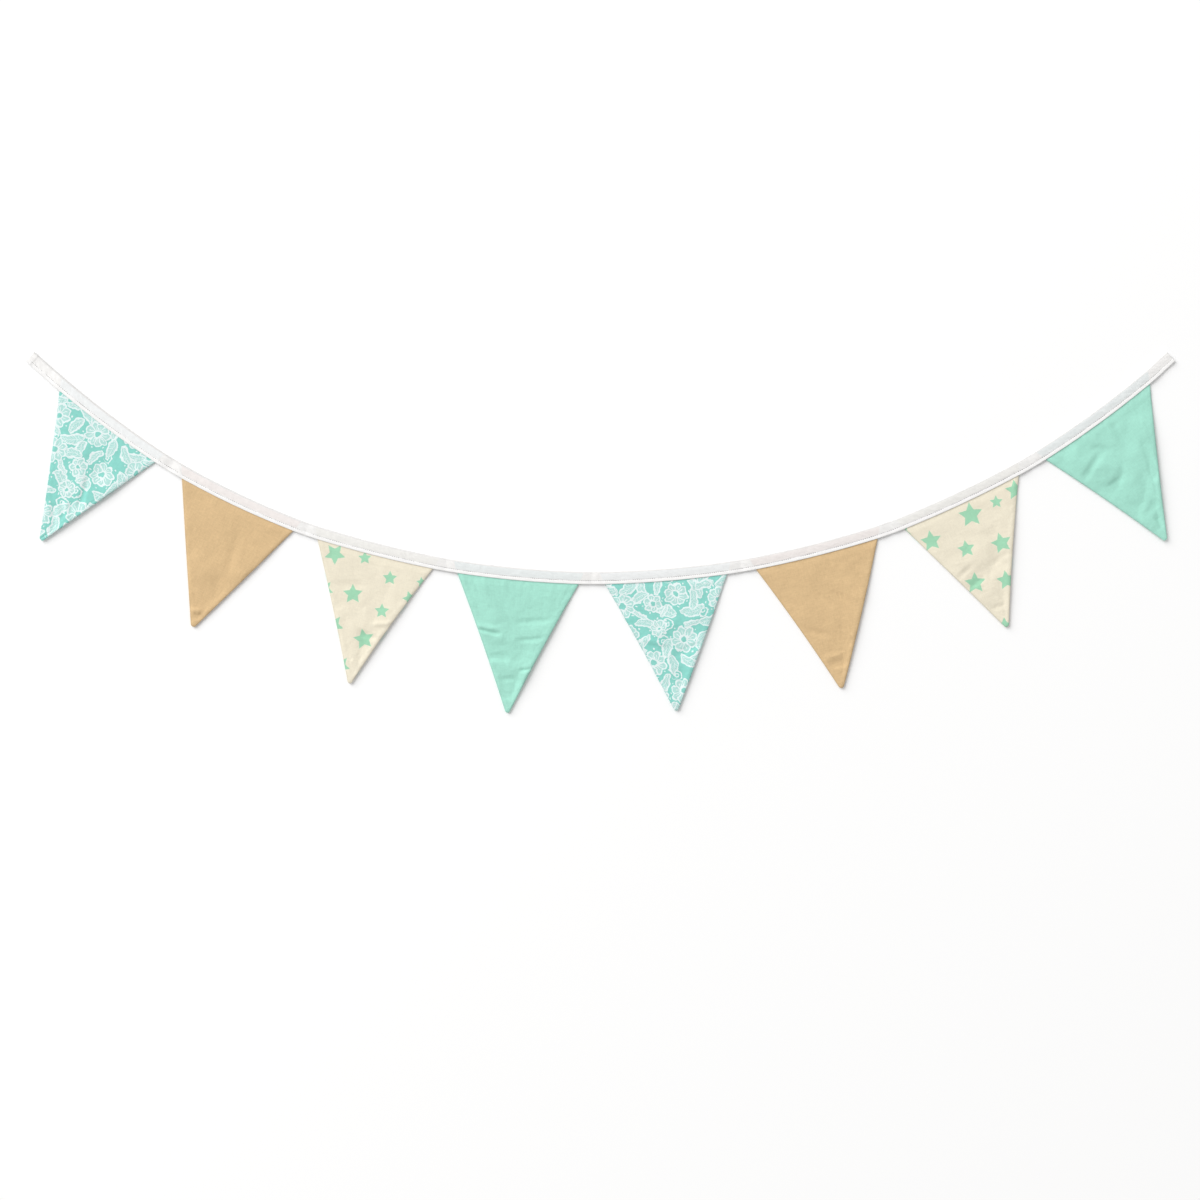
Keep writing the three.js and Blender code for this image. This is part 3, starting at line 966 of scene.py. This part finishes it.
@dataclass(frozen=True)
class TapeCotton(CottonFinish):
    """White binding cotton, through which the cloth inside shows faintly, with painted shade along
    its fold.
    """

    def ground(self, sketch: Sketch, cloth: bpy.types.NodeSocket) -> bpy.types.NodeSocket:
        """The white with the colour of what lies inside and the painted shade along the fold.

        Args:
            sketch: The material's tree.
            cloth: The place on the flat cloth, in millimetres.

        Returns:
            The colour's socket.
        """
        plain = CottonFinish.ground(self, sketch, cloth)
        inside = sketch.node("Attribute", attribute_name="inside")
        # The inside attribute holds both the show-through tint and the painted shade along the
        # fold.
        return sketch.mix(inside.outputs["Alpha"], plain, inside.outputs["Color"], "MULTIPLY")


# The unevenness of slack cotton: its height, the size of its hills, how much closer they stand
# down the cloth than across it, and its seed.
SLACK_COLUMNS = ("height", "size", "squash", "seed")
SLACK_ROWS = ((0.75, 34.0, 1.0, 3.0), (0.34, 12.0, 1.0, 5.0), (0.24, 4.5, 1.6, 7.0))

# The first pennant's lower right edge is rolled a little, with a pressed line beside it: how far
# in the line lies, half its breadth, its depth, where down the side it comes in, and the width
# that across is taken over.
PRESSED_PENNANT = 1
PRESSED_IN = 4.6
PRESSED_REACH = 1.1
PRESSED_DEPTH = 0.55
PRESSED_FROM = (50.0, 90.0)
PRESSED_WIDTH = 155


@dataclass
class Pennant:
    """One pennant: a front and a back panel, sewn together and turned.

    A rise or a lift is a height in millimetres, and a gain is how many times the height in a table
    is taken. A mesh is the distance between rows and the number of columns in each half.
    """

    line: TapeLine
    index: int
    seam_rise: float = 1.4
    roll: float = 4.2
    sheet: float = 0.5
    front_rise: float = 0.60
    pillow: float = 0.95
    pillow_reach: float = 13.0
    allowance_rise: float = 0.16
    allowance: float = 6.0
    # How far in from the outline the painted shade of the edges reaches.
    painted_edge_shade_band: float = 1.4
    least_rise: float = 0.3
    wave_height: float = 0.22
    wave_size: float = 9.0
    wave_in: float = 5.0
    wave_reach: float = 4.0
    wave_squash: float = 9.0
    wave_from: tuple[float, float] = (4.0, 20.0)
    pillow_from: tuple[float, float] = (0.0, 20.0)
    allowance_edge: tuple[float, float] = (-1.0, 1.6)
    head_lift: float = 0.95
    head_squeeze: float = 0.5
    squeeze_over: tuple[float, float] = (-1.0, 11.0)
    crease_gain: float = 3.8
    crease_end: float = 0.15
    crease_wander: float = 24.0
    puff_gain: float = 1.3
    gather_gain: float = 3.6
    gather_size: float = 7.0
    gather_fade: float = 13.0
    gather_long: float = 0.12
    gather_from: tuple[float, float] = (0.0, 3.0)
    front_mesh: tuple[float, int] = (1.6, 26)
    back_mesh: tuple[float, int] = (3.2, 12)
    tip_rows: int = 9
    tip_end: float = 86.0
    head_rows: int = 4
    edge_steps: tuple = (0.0, 0.08, 0.3, 0.65, 1.1, 1.7, 2.6, 3.8, 5.0, 6.2, 7.4, 9.0)

    def __post_init__(self) -> None:
        """Works out the plan from the pennant's row."""
        self.row = read_table(PENNANT_COLUMNS, PENNANT_ROWS)[self.index]
        self.number = self.index + 1
        self.start, self.end = self.line.span(self.index)
        left = np.array(self.line.place(self.start, 0.0))
        right = np.array(self.line.place(self.end, 0.0))
        half = np.linalg.norm(right - left) / 2
        self.along = (right - left) / (2 * half)
        self.down = np.array([self.along[1], -self.along[0]])
        self.top = (left + right) / 2
        drop, lean = self.row["drop"], self.row["lean"]
        self.point = self.top + self.down * drop + self.along * lean
        self.left_flare = (half + lean) / drop
        self.right_flare = (half - lean) / drop
        self.tip_angle = (math.atan(self.left_flare) + math.atan(self.right_flare)) / 2

    def plan(self, across: np.ndarray, depth: np.ndarray) -> tuple[np.ndarray, np.ndarray]:
        """Where points of the panels lie.

        Args:
            across: From 0 at the left side to 1 at the right.
            depth: Millimetres below the tape's lower edge, less than 0 in the tape.

        Returns:
            The points' x and y.
        """
        inside = np.minimum(depth, 0.0)
        start = self.start + inside * self.left_flare
        end = self.end - inside * self.right_flare
        x, y = self.line.place(start + (end - start) * across, -inside)
        down = np.maximum(depth, 0.0) / self.row["drop"]
        out = across * self.row["right_bow"] - (1 - across) * self.row["left_bow"]
        bow = 4 * down * (1 - down) * out
        x = x + (self.point[0] - x) * down + self.along[0] * bow
        y = y + (self.point[1] - y) * down + self.along[1] * bow
        return x, y

    def grid(self, step: float, inner: int) -> tuple[np.ndarray, np.ndarray, np.ndarray]:
        """The panels' rows and columns, close together near the sides and round the tip.

        Args:
            step: The distance between rows.
            inner: How many columns each half has between its edge steps and the middle.

        Returns:
            across, depth and the distance from the outline, each by row and column.
        """
        drop, angle = self.row["drop"], self.tip_angle
        centre = PLY.tip_radius / math.sin(angle)
        tangent = drop - PLY.tip_radius * math.cos(angle) / math.tan(angle)
        rows = [(d, 1.0) for d in np.linspace(-PLY.head_depth, 0.0, self.head_rows)[:-1]]
        rows += [(d, 1.0) for d in np.linspace(0.0, tangent, round(tangent / step) + 1)]
        turns = np.linspace(math.degrees(angle), self.tip_end, self.tip_rows)
        for turn in np.radians(turns[1:]):
            far = centre - PLY.tip_radius * math.sin(turn)
            rows.append((drop - far, PLY.tip_radius * math.cos(turn) / (far * math.tan(angle))))
        edge = np.array(self.edge_steps)
        across, depth, away = [], [], []
        for d, keep in rows:
            ends_x, ends_y = self.plan(np.array([0.0, 1.0]), np.array([d, d]))
            width = math.hypot(ends_x[1] - ends_x[0], ends_y[1] - ends_y[0])
            half = width * keep / 2
            steps = edge * min(1.0, half / (2 * edge[-1]))
            left = np.concatenate([steps, np.linspace(steps[-1], half, inner + 1)[1:]])
            place = 0.5 + np.concatenate([left - half, (half - left)[-2::-1]]) / width
            across.append(place)
            depth.append(np.full(len(place), d))
            from_left = place * width * math.cos(math.atan(self.left_flare))
            from_right = (1 - place) * width * math.cos(math.atan(self.right_flare))
            to_side = np.minimum(from_left, from_right)
            if d > tangent:
                to_side = PLY.tip_radius - np.hypot((place - 0.5) * width, centre - (drop - d))
            away.append(np.maximum(to_side, 0.0))
        return np.array(across), np.array(depth), np.array(away)

    def lift(self, across: np.ndarray, depth: np.ndarray) -> np.ndarray:
        """How far the underside stands off the surface.

        Args:
            across: From 0 at the left side to 1 at the right.
            depth: Millimetres below the tape's lower edge.

        Returns:
            The height at each point.
        """
        down = depth / self.row["drop"]
        free = smooth(down, 0.0, PLY.side_from)
        at_left = 1 - smooth(across, 0.0, PLY.side_reach)
        at_right = smooth(across, 1 - PLY.side_reach, 1.0)
        at_tip = smooth(down, PLY.tip_from, 1.0)
        sides = self.row["left_lift"] * at_left + self.row["right_lift"] * at_right
        head = self.head_lift * (1 - smooth(depth, PLY.head_shelf, PLY.drape))
        return head + free * sides * (1 - at_tip) + self.row["tip_lift"] * at_tip

    def creases(self, across: np.ndarray, depth: np.ndarray) -> np.ndarray:
        """The puffs, creases and gathers of the front panel.

        Args:
            across: From 0 at the left side to 1 at the right.
            depth: Millimetres below the tape's lower edge.

        Returns:
            The height that they add at each point.
        """
        x, y = self.plan(across, depth)
        total = np.zeros(across.shape)
        puff = np.zeros(across.shape)
        for row in read_table(CREASE_COLUMNS, CREASE_ROWS):
            if row["pennant"] != self.number:
                continue
            ends = np.array([[row["across"], row["to_across"]], [row["down"], row["to_down"]]])
            end_x, end_y = self.plan(ends[0], ends[1] * self.row["drop"])
            run = np.array([end_x[1] - end_x[0], end_y[1] - end_y[0]])
            part = ((x - end_x[0]) * run[0] + (y - end_y[0]) * run[1]) / (run @ run)
            part = np.clip(part, 0.0, 1.0)
            seed = row["down"] * 9 + self.number
            wander = 0.5 * row["reach"] * ripple(x, y, self.crease_wander, seed)
            away = np.hypot(x - end_x[0] - part * run[0], y - end_y[0] - part * run[1] + wander)
            form = np.clip(1 - (away / row["reach"]) ** 2, 0.0, 1.0) ** 2
            if row["reach"] > PUFF_REACH:
                puff = np.maximum(puff, row["height"] * form)
            else:
                ends_soft = np.sqrt(np.clip(4 * part * (1 - part) + self.crease_end, 0.0, 1.0))
                total += self.crease_gain * row["height"] * form * ends_soft
        along = self.start + (self.end - self.start) * across
        near_head = np.exp(-np.maximum(depth, 0.0) / self.gather_fade)
        hills = ripple(along, depth * self.gather_long, self.gather_size, self.number)
        gathers = HEAD_GATHERS[self.index] * near_head * hills
        slack = np.zeros(across.shape)
        for row in read_table(SLACK_COLUMNS, SLACK_ROWS):
            seed = row["seed"] * self.number
            slack += row["height"] * ripple(x, y * row["squash"], row["size"], seed)
        loose = (self.puff_gain * puff + total + slack) * smooth(depth, PLY.head_shelf, PLY.drape)
        return loose + self.gather_gain * gathers * smooth(depth, *self.gather_from)

    def build_sheet(self, name: str, upper: np.ndarray, lower: np.ndarray, across: np.ndarray,
                    depth: np.ndarray, away: np.ndarray, mirrored: bool) -> bpy.types.Object:
        """A closed sheet of cloth between two surfaces that meet at its sides and tip.

        Args:
            name: The piece's name.
            upper: The upper surface's heights by row and column.
            lower: The lower surface's heights.
            across: The columns' places.
            depth: The rows' places.
            away: The distances from the outline.
            mirrored: Whether the cloth's right side faces down.

        Returns:
            The piece.
        """
        rows, columns = across.shape
        x, y = self.plan(across, depth)
        count = rows * columns
        above = np.arange(count).reshape(rows, columns)
        below = above.copy()
        below[:-1, 1:-1] = count + np.arange((rows - 1) * (columns - 2)).reshape(rows - 1, -1)
        keep = below >= count
        points = np.concatenate([
            np.stack([x, y, upper], -1).reshape(-1, 3), np.stack([x, y, lower], -1)[keep],
        ])
        faces = []
        for r in range(rows - 1):
            for c in range(columns - 1):
                faces.append((above[r, c], above[r + 1, c], above[r + 1, c + 1], above[r, c + 1]))
                faces.append((below[r, c], below[r, c + 1], below[r + 1, c + 1], below[r + 1, c]))
        faces.append((*above[0], *below[0, -2:0:-1]))
        faces = [tuple(int(i) for i in face) for face in faces]
        side = -1.0 if mirrored else 1.0
        offset = np.array([points[:, 0] - self.top[0], points[:, 1] - self.top[1]])
        cut = self.cut()
        u = cut[0] + side * (self.along @ offset)
        v = cut[1] - self.down @ offset
        piece = make_mesh(name, points, faces, np.stack([u, v], -1))
        # Painted shade: the seam attribute is 1 at the outline and fades inwards; the cotton
        # darkens its colour by it.
        turned = np.exp(-((away / self.painted_edge_shade_band) ** 2))
        turned = np.concatenate([turned.ravel(), turned[keep]])
        layer = piece.data.attributes.new("seam", "FLOAT", "POINT")
        layer.data.foreach_set("value", turned.astype(np.float32))
        return piece

    def cut(self) -> tuple[float, float]:
        """Where on its length of cloth the panel is cut.

        Returns:
            The place of the middle of its top, along and up the cloth.
        """
        if self.row["cloth"] is Cloth.STARS:
            return STAR_CUTS[self.number]
        return CUT_STEPS[0] * self.number + CUT_START, CUT_STEPS[1] * self.number

    def seam(self, across: np.ndarray, depth: np.ndarray, away: np.ndarray) -> tuple:
        """The level at which the two panels meet, and how each bulges from it.

        Args:
            across: From 0 at the left side to 1 at the right.
            depth: Millimetres below the tape's lower edge.
            away: Millimetres from the outline.

        Returns:
            The level, how far the tape lets the panels part, from 0 to 1, and the roundness of
            their edges, from 0 at the outline to 1.
        """
        squeeze = 1 - self.head_squeeze * (1 - smooth(depth, *self.squeeze_over))
        level = self.lift(across, depth) + self.seam_rise * squeeze
        return level, squeeze, np.sqrt(1 - (1 - np.clip(away / self.roll, 0, 1)) ** 2)

    def build_front(self) -> bpy.types.Object:
        """Makes the front panel, full over its seam allowance, pillowed and creased.

        Returns:
            The panel.
        """
        across, depth, away = self.grid(*self.front_mesh)
        seam, squeeze, round_off = self.seam(across, depth, away)
        begin, end = self.allowance_edge
        allowance = 1 - smooth(away, self.allowance + begin, self.allowance + end)
        seed = 11.0 * self.number
        wave = ripple(depth, across * self.wave_squash, self.wave_size, seed)
        wave = self.wave_height * wave
        near_side = np.exp(-((away - self.wave_in) / self.wave_reach) ** 2)
        near_side = near_side * smooth(depth, *self.wave_from)
        rise = self.front_rise + self.allowance_rise * allowance
        pillow = self.pillow * (1 - np.exp(-away / self.pillow_reach))
        rise = rise + pillow * smooth(depth, *self.pillow_from)
        if self.number == PRESSED_PENNANT:
            beside = (1 - across) * PRESSED_WIDTH * (1 - depth / self.row["drop"])
            pressed = np.exp(-((beside - PRESSED_IN) / PRESSED_REACH) ** 2)
            rise = rise - PRESSED_DEPTH * (pressed * smooth(depth, *PRESSED_FROM))
        relief = self.creases(across, depth) + wave * near_side
        upper = seam + round_off * np.maximum(rise * squeeze + relief, self.least_rise)
        lower = upper - self.sheet * round_off
        name = f"pennant_{self.number}_front_cloth"
        return self.build_sheet(name, upper, lower, across, depth, away, False)

    def build_back(self) -> bpy.types.Object:
        """Makes the back panel, rolled up to the seam at its sides.

        Returns:
            The panel.
        """
        across, depth, away = self.grid(*self.back_mesh)
        seam, squeeze, round_off = self.seam(across, depth, away)
        lower = np.maximum(seam - self.seam_rise * squeeze * round_off, 0.0)
        upper = lower + self.sheet * round_off
        name = f"pennant_{self.number}_back_cloth"
        return self.build_sheet(name, upper, lower, across, depth, away, True)

    def build(self) -> list[bpy.types.Object]:
        """Returns:
            The front and the back panel.
        """
        front, back = self.build_front(), self.build_back()
        for piece, side in ((front, "front"), (back, "back")):
            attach(piece, "root")
            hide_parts(f"pennant_{self.number}_{side}")
        return [front, back]


# What the tape's white is multiplied by where it is bare and where a head shows through it.
BARE_TINT = (0.975, 0.972, 0.965)
INSIDE_TINTS = {
    Cloth.FLORAL: (0.94, 0.965, 0.975),
    Cloth.SAND: (0.96, 0.915, 0.90),
    Cloth.STARS: (0.95, 0.945, 0.92),
    Cloth.MINT: (0.89, 0.935, 0.94),
}


@dataclass
class BindingTape:
    """The folded tape with its turned-in edges, and the groove of its stitching.

    The lines are how far above the lower edge the tape's lengthwise lines of points run, and the
    angles place those round the fold and the lip, in degrees. A twist, softness, puff or pucker is
    a height and the size of its hills.
    """

    line: TapeLine
    pennants: list[Pennant]
    wall: float = 0.7
    fold_round: float = 1.3
    overhang: float = 0.5
    seam_up: float = 4.5
    pitch: float = 2.8
    ramp: float = 18.0
    closed: float = 2.2
    full_thick: float = 3.1
    lower_lines: tuple = (0.5, 3.2, 3.9, 4.5, 5.1, 5.8, 8.5, 12.0)
    upper_lines: tuple = (13.6, 12.6, 11.6, 10.4, 9.0, 7.8, 6.8, 6.0, 5.4, 5.1, 4.8, 4.5, 4.2, 3.9,
                          3.3, 2.3, 1.2, 0.5)
    inner_upper_lines: tuple = (1.0, 4.0, 8.0, 11.5, 13.6)
    inner_lower_lines: tuple = (13.6, 8.0, 4.0, 1.0)
    fold_angles: tuple = (0, 30, 60, 90, 120, 150, 180)
    lip_angles: tuple = (60, 90, 120)
    lip_round: float = 0.5
    lip_turn: float = 0.55
    lip_inside: tuple[float, float] = (0.25, 0.42)
    under_groove: tuple[float, float] = (0.42, 0.6)
    groove_reach: float = 0.55
    groove_depth: tuple[float, float] = (0.12, 0.06)
    twist: tuple[float, float] = (0.28, 5.0)
    twist_lean: float = 0.7
    twist_from: tuple[float, float] = (3.6, 5.0)
    soft: tuple[float, float] = (0.22, 17.0)
    puff: tuple[float, float] = (0.07, 4.0)
    puff_range: tuple[float, float] = (0.7, 0.5)
    pucker: tuple[float, float] = (0.05, 1.2)
    bare_puff: float = 0.75
    crown_to: float = 14.0
    fold_puff: float = 0.85
    end_turn: float = 8.0
    end_rise: float = 0.5
    turned_in: float = 4.0
    # Painted shade along the fold: how much darker it is painted, and the lines below the fold that
    # it covers.
    painted_fold_shade: float = 0.17
    painted_fold_shade_over: tuple[float, float] = (-2.6, -1.0)
    show_over: tuple[float, float] = (-0.5, 0.6)
    show_past: float = 3.0

    def fullness(self, s: np.ndarray) -> np.ndarray:
        """How full the tape is: 1 over a head, 0 where it is bare.

        Args:
            s: Arc lengths along the tape.

        Returns:
            The fullness at each.
        """
        outside = np.full(s.shape, np.inf)
        for each in self.pennants:
            low = each.start - PLY.head_depth * each.left_flare - PLY.layer
            high = each.end + PLY.head_depth * each.right_flare + PLY.layer
            outside = np.minimum(outside, np.maximum(np.maximum(low - s, s - high), 0.0))
        return 1 - smooth(outside, 0.0, self.ramp)

    def height(self, s: np.ndarray) -> np.ndarray:
        """The tape's thickness along its length.

        Args:
            s: Arc lengths along the tape.

        Returns:
            The thickness at each.
        """
        full = self.fullness(s)
        to_end = np.minimum(s, self.line.length - s)
        turned = self.end_rise * (1 - smooth(to_end, self.end_turn - 1, self.end_turn + 1))
        return self.closed + (self.full_thick - self.closed) * full + turned

    def outline(self, s: np.ndarray) -> tuple[np.ndarray, np.ndarray]:
        """The tape's outline at each station, once round from the lower edge.

        Args:
            s: The stations, as arc lengths along the tape.

        Returns:
            How far up and how high its points lie, by line and station.
        """
        width = PLY.tape_width
        full = self.fullness(s)
        thick = self.height(s)
        fold = thick + self.fold_puff * (self.bare_puff + (1 - self.bare_puff) * full)
        low = -self.overhang
        path_up, path_z = [], []

        def add(up: np.ndarray | float, z: np.ndarray | float) -> None:
            """Adds one lengthwise line of the tape's outline."""
            path_up.append(np.broadcast_to(up, s.shape))
            path_z.append(np.broadcast_to(z, s.shape))

        hole = 0.5 + 0.5 * np.cos(2 * math.pi * s / self.pitch)
        for at in self.lower_lines:
            depth, reach = self.under_groove
            add(low + at, depth * np.exp(-(((at - self.seam_up) / reach) ** 2)))
        for angle in np.radians(self.fold_angles):
            add(width - self.fold_round * (1 - math.sin(angle)), fold * (1 - math.cos(angle)) / 2)
        for at in self.upper_lines:
            deep, deeper = self.groove_depth
            groove = math.exp(-(((at - self.seam_up) / self.groove_reach) ** 2))
            groove = groove * (deep + deeper * hole)
            here = np.full(s.shape, at)
            lean = s + self.twist_lean * at
            twist = self.twist[0] * ripple(lean, here, self.twist[1], 2.0)
            twist = twist * smooth(here, *self.twist_from)
            soft = self.soft[0] * ripple(s, here, self.soft[1], 4.0)
            even, spread = self.puff_range
            puffed = self.puff[0] * np.sin(math.pi * np.clip(at / self.seam_up, 0, 1))
            puffed = puffed * (even + spread * ripple(s, here, self.puff[1], 9.0))
            fade = math.exp(-abs(at - self.seam_up) / self.pucker[1])
            pucker = self.pucker[0] * (1 - hole) * fade
            rise = max(at - self.seam_up, 0.0) / (self.crown_to - self.seam_up)
            level = thick + (fold - thick) * math.sin(rise * math.pi / 2)
            add(low + at, level - groove + twist + soft + puffed + pucker)
        for angle in np.radians(self.lip_angles):
            out = low + self.lip_round * (1 - math.sin(angle))
            add(out, thick - self.lip_turn * (1 - math.cos(angle)))
        for at in self.inner_upper_lines:
            add(low + at, thick - self.wall)
        for at in self.inner_lower_lines:
            add(low + at, self.wall)
        add(low + self.lip_inside[0], self.lip_inside[1])
        return np.array(path_up), np.array(path_z)

    def build(self) -> bpy.types.Object:
        """Makes the tape as one closed sheet folded along its upper edge.

        Returns:
            The tape.
        """
        step = self.pitch / 3
        s = np.linspace(0.0, self.line.length, round(self.line.length / step) + 1)
        up, z = self.outline(s)
        x, y = self.line.place(np.broadcast_to(s, up.shape), up)
        ring, count = up.shape
        points = np.stack([x, y, np.maximum(z, 0.0)], -1).reshape(-1, 3)
        number = np.arange(ring * count).reshape(ring, count)
        following = np.roll(number, -1, axis=0)
        quads = np.stack([number[:, :-1], following[:, :-1], following[:, 1:], number[:, 1:]], -1)
        faces = [tuple(f) for f in quads.reshape(-1, 4).tolist()]
        faces.append(tuple(number[::-1, 0].tolist()))
        faces.append(tuple(number[:, -1].tolist()))
        girth = np.concatenate([[0.0], np.cumsum(np.hypot(np.diff(up[:, 0]), np.diff(z[:, 0])))])
        uv = np.stack([np.broadcast_to(s, up.shape), np.broadcast_to(girth[:, None], up.shape)], -1)
        piece = make_mesh("tape_cloth", points, faces, uv.reshape(-1, 2))
        self.show_inside(piece, up, s)
        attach(piece, "root")
        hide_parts("tape")
        return piece

    def show_inside(self, piece: bpy.types.Object, up: np.ndarray, s: np.ndarray) -> None:
        """Paints where the pennants' heads show faintly through the tape, and a painted shade along
        the fold.

        Args:
            piece: The tape.
            up: How far up each point is, by line and station.
            s: The stations.
        """
        colour = np.ones((*up.shape, 4))
        colour[..., :3] = BARE_TINT
        for each in self.pennants:
            start = each.start - up * each.left_flare
            end = each.end + up * each.right_flare
            here = (s >= start) & (s <= end) & (up <= PLY.head_depth + self.show_past)
            colour[here, :3] = INSIDE_TINTS[each.row["cloth"]]
        low, high = self.show_over
        colour[..., 3] = smooth(up, self.seam_up + low, self.seam_up + high)
        # Painted shade: the colour is darkened along the tape's upper fold.
        low, high = self.painted_fold_shade_over
        pressed = smooth(up, PLY.tape_width + low, PLY.tape_width + high)
        colour[..., :3] *= 1 - self.painted_fold_shade * pressed[..., None]
        layer = piece.data.color_attributes.new("inside", "FLOAT_COLOR", "POINT")
        layer.data.foreach_set("color", colour.astype(np.float32).ravel())


@dataclass
class TapeStitching:
    """The row of machine stitches that closes the tape, above and below."""

    tape: BindingTape
    length: float = 2.25
    thickness: float = 0.42
    cuts: tuple[float, float, float] = (-0.3, 0.0, 0.3)
    taper: float = 0.35
    dip: float = 0.28
    sunk: float = 0.16
    under_level: float = 0.24

    def model_stitch(self) -> tuple[np.ndarray, list]:
        """Models one stitch: a short thread that dips into the cloth at both ends.

        Returns:
            Its points, in millimetres, and its faces.
        """
        bpy.ops.object.select_all(action="DESELECT")
        bpy.ops.mesh.primitive_cylinder_add(
            vertices=6, radius=self.thickness / 2, depth=self.length, rotation=(0, math.pi / 2, 0),
        )
        stitch = bpy.context.object
        bpy.ops.object.transform_apply(location=False, rotation=True, scale=True)
        bpy.ops.object.mode_set(mode="EDIT")
        for cut in self.cuts:
            bpy.ops.mesh.select_all(action="SELECT")
            bpy.ops.mesh.bisect(plane_co=(cut * self.length, 0, 0), plane_no=(1, 0, 0))
        bpy.ops.object.mode_set(mode="OBJECT")
        points = np.array([v.co[:] for v in stitch.data.vertices])
        along = points[:, 0] / (self.length / 2)
        points[:, 1:] *= (1 - self.taper * along**4)[:, None]
        points[:, 2] -= self.dip * along**4
        faces = [tuple(p.vertices) for p in stitch.data.polygons]
        bpy.data.objects.remove(stitch)
        return points, faces

    def build(self) -> bpy.types.Object:
        """Lays the stitches along the tape.

        Returns:
            The stitching.
        """
        one, faces = self.model_stitch()
        line, tape = self.tape.line, self.tape
        middles = np.arange(tape.pitch * 1.5, line.length - tape.pitch, tape.pitch)
        up = tape.seam_up - tape.overhang
        top = tape.height(middles) - self.sunk
        under = np.full(middles.shape, self.under_level)
        points, all_faces = [], []
        for side, level in ((1.0, top), (-1.0, under)):
            for at, z in zip(middles, level):
                x, y = line.place(at + one[:, 0], up + one[:, 1] * side)
                base = len(points) * len(one)
                points.append(np.stack([x, y, np.maximum(z + one[:, 2] * side, 0.0)], -1))
                all_faces += [tuple(base + i for i in face) for face in faces]
        points = np.concatenate(points)
        piece = make_mesh("tape_stitching", points, all_faces, points[:, :2])
        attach(piece, "root")
        return piece


@dataclass
class Studio:
    """The pale floor, the soft light from the upper left and the camera straight above.

    The picture's width and the camera's place are in millimetres, as the bunting's sizes are. The
    lamp's size and distance and the card's are in metres.
    """

    view_x: float = -0.6
    view_y: float = -88.0
    picture: float = 1560.0
    lens: float = 85.0
    sensor: float = 36.0
    key_size: float = 17.5
    key_away: float = 19.0
    key_power: float = 4060.0
    key_toward: tuple[float, float, float] = (0.60, -0.58, -0.53)
    sky_colour: tuple[float, float, float, float] = (1.0, 0.995, 0.99, 1.0)
    sky_strength: float = 0.555
    card_colour: tuple[float, float, float, float] = (0.96, 0.96, 0.96, 1.0)
    card_size: float = 30.0
    card_gap: float = 0.0002

    def build(self) -> None:
        """Sets up the floor, the lights and the camera."""
        self.lay_floor()
        self.light()
        self.aim()

    def lay_floor(self) -> None:
        """A large sheet of white card under the bunting."""
        bpy.ops.object.select_all(action="DESELECT")
        bpy.ops.mesh.primitive_plane_add(size=self.card_size, location=(0, 0, -self.card_gap))
        floor = bpy.context.object
        floor.name = "floor"
        material = bpy.data.materials.new("white_card")
        material.use_nodes = True
        shader = material.node_tree.nodes["Principled BSDF"]
        shader.inputs["Base Color"].default_value = self.card_colour
        shader.inputs["Roughness"].default_value = 1.0
        shader.inputs["Specular IOR Level"].default_value = 0.0
        floor.data.materials.append(material)

    def light(self) -> None:
        """A broad soft key from the upper left and an even fill."""
        world = bpy.data.worlds.new("room")
        bpy.context.scene.world = world
        world.use_nodes = True
        sky = world.node_tree.nodes["Background"]
        sky.inputs["Color"].default_value = self.sky_colour
        sky.inputs["Strength"].default_value = self.sky_strength
        lamp = bpy.data.lights.new("key", "AREA")
        lamp.shape, lamp.size, lamp.energy = "DISK", self.key_size, self.key_power
        key = bpy.data.objects.new("key", lamp)
        toward = Vector(self.key_toward).normalized()
        key.location = -toward * self.key_away
        key.rotation_euler = toward.to_track_quat("-Z", "Y").to_euler()
        bpy.context.collection.objects.link(key)
        settings = bpy.context.scene.view_settings
        settings.view_transform = "Standard"
        settings.look = "None"

    def aim(self) -> None:
        """The camera, straight above the middle of the picture."""
        lens = bpy.data.cameras.new("camera")
        lens.lens, lens.sensor_width = self.lens, self.sensor
        camera = bpy.data.objects.new("camera", lens)
        height = self.picture * self.lens / self.sensor
        camera.location = (self.view_x * MM, self.view_y * MM, height * MM)
        bpy.context.collection.objects.link(camera)
        bpy.context.scene.camera = camera


def make_cottons() -> dict[Cloth, bpy.types.Material]:
    """Makes the cottons' materials.

    Returns:
        The material of each cotton.
    """
    effects = ClothEffects()
    sand = linear(219, 188, 143)
    white = linear(249, 248, 247)
    finishes = {
        Cloth.FLORAL: FloralCotton(effects, "floral_print", linear(142, 214, 203)),
        Cloth.SAND: CottonFinish(effects, "sand_plain", sand, slub=0.42, mottle=0.12, grain=0.16),
        Cloth.STARS: StarCotton(effects, "star_print", linear(238, 230, 209), slub=0.22),
        Cloth.MINT: CottonFinish(effects, "mint_plain", linear(168, 226, 208), slub=0.24),
        Cloth.TAPE: TapeCotton(effects, "tape_white", white, slub=0.08, mottle=0.03, grain=0.07),
    }
    return {cloth: finish.build() for cloth, finish in finishes.items()}


def dress(piece: bpy.types.Object, cotton: bpy.types.Material) -> None:
    """Gives a piece its cotton and reports it.

    Args:
        piece: The piece.
        cotton: The cotton's material.
    """
    piece.data.materials.append(cotton)
    log.info("%s: %d faces", piece.name, len(piece.data.polygons))


def main() -> None:
    """Builds the bunting and its studio."""
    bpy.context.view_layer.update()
    Studio().build()
    line = TapeLine()
    cottons = make_cottons()
    pennants = [Pennant(line, index) for index in range(len(PENNANT_ROWS))]
    for pennant in pennants:
        for piece in pennant.build():
            dress(piece, cottons[pennant.row["cloth"]])
    tape = BindingTape(line, pennants)
    dress(tape.build(), cottons[Cloth.TAPE])
    dress(TapeStitching(tape).build(), cottons[Cloth.TAPE])


if __name__ == "__main__":
    main()
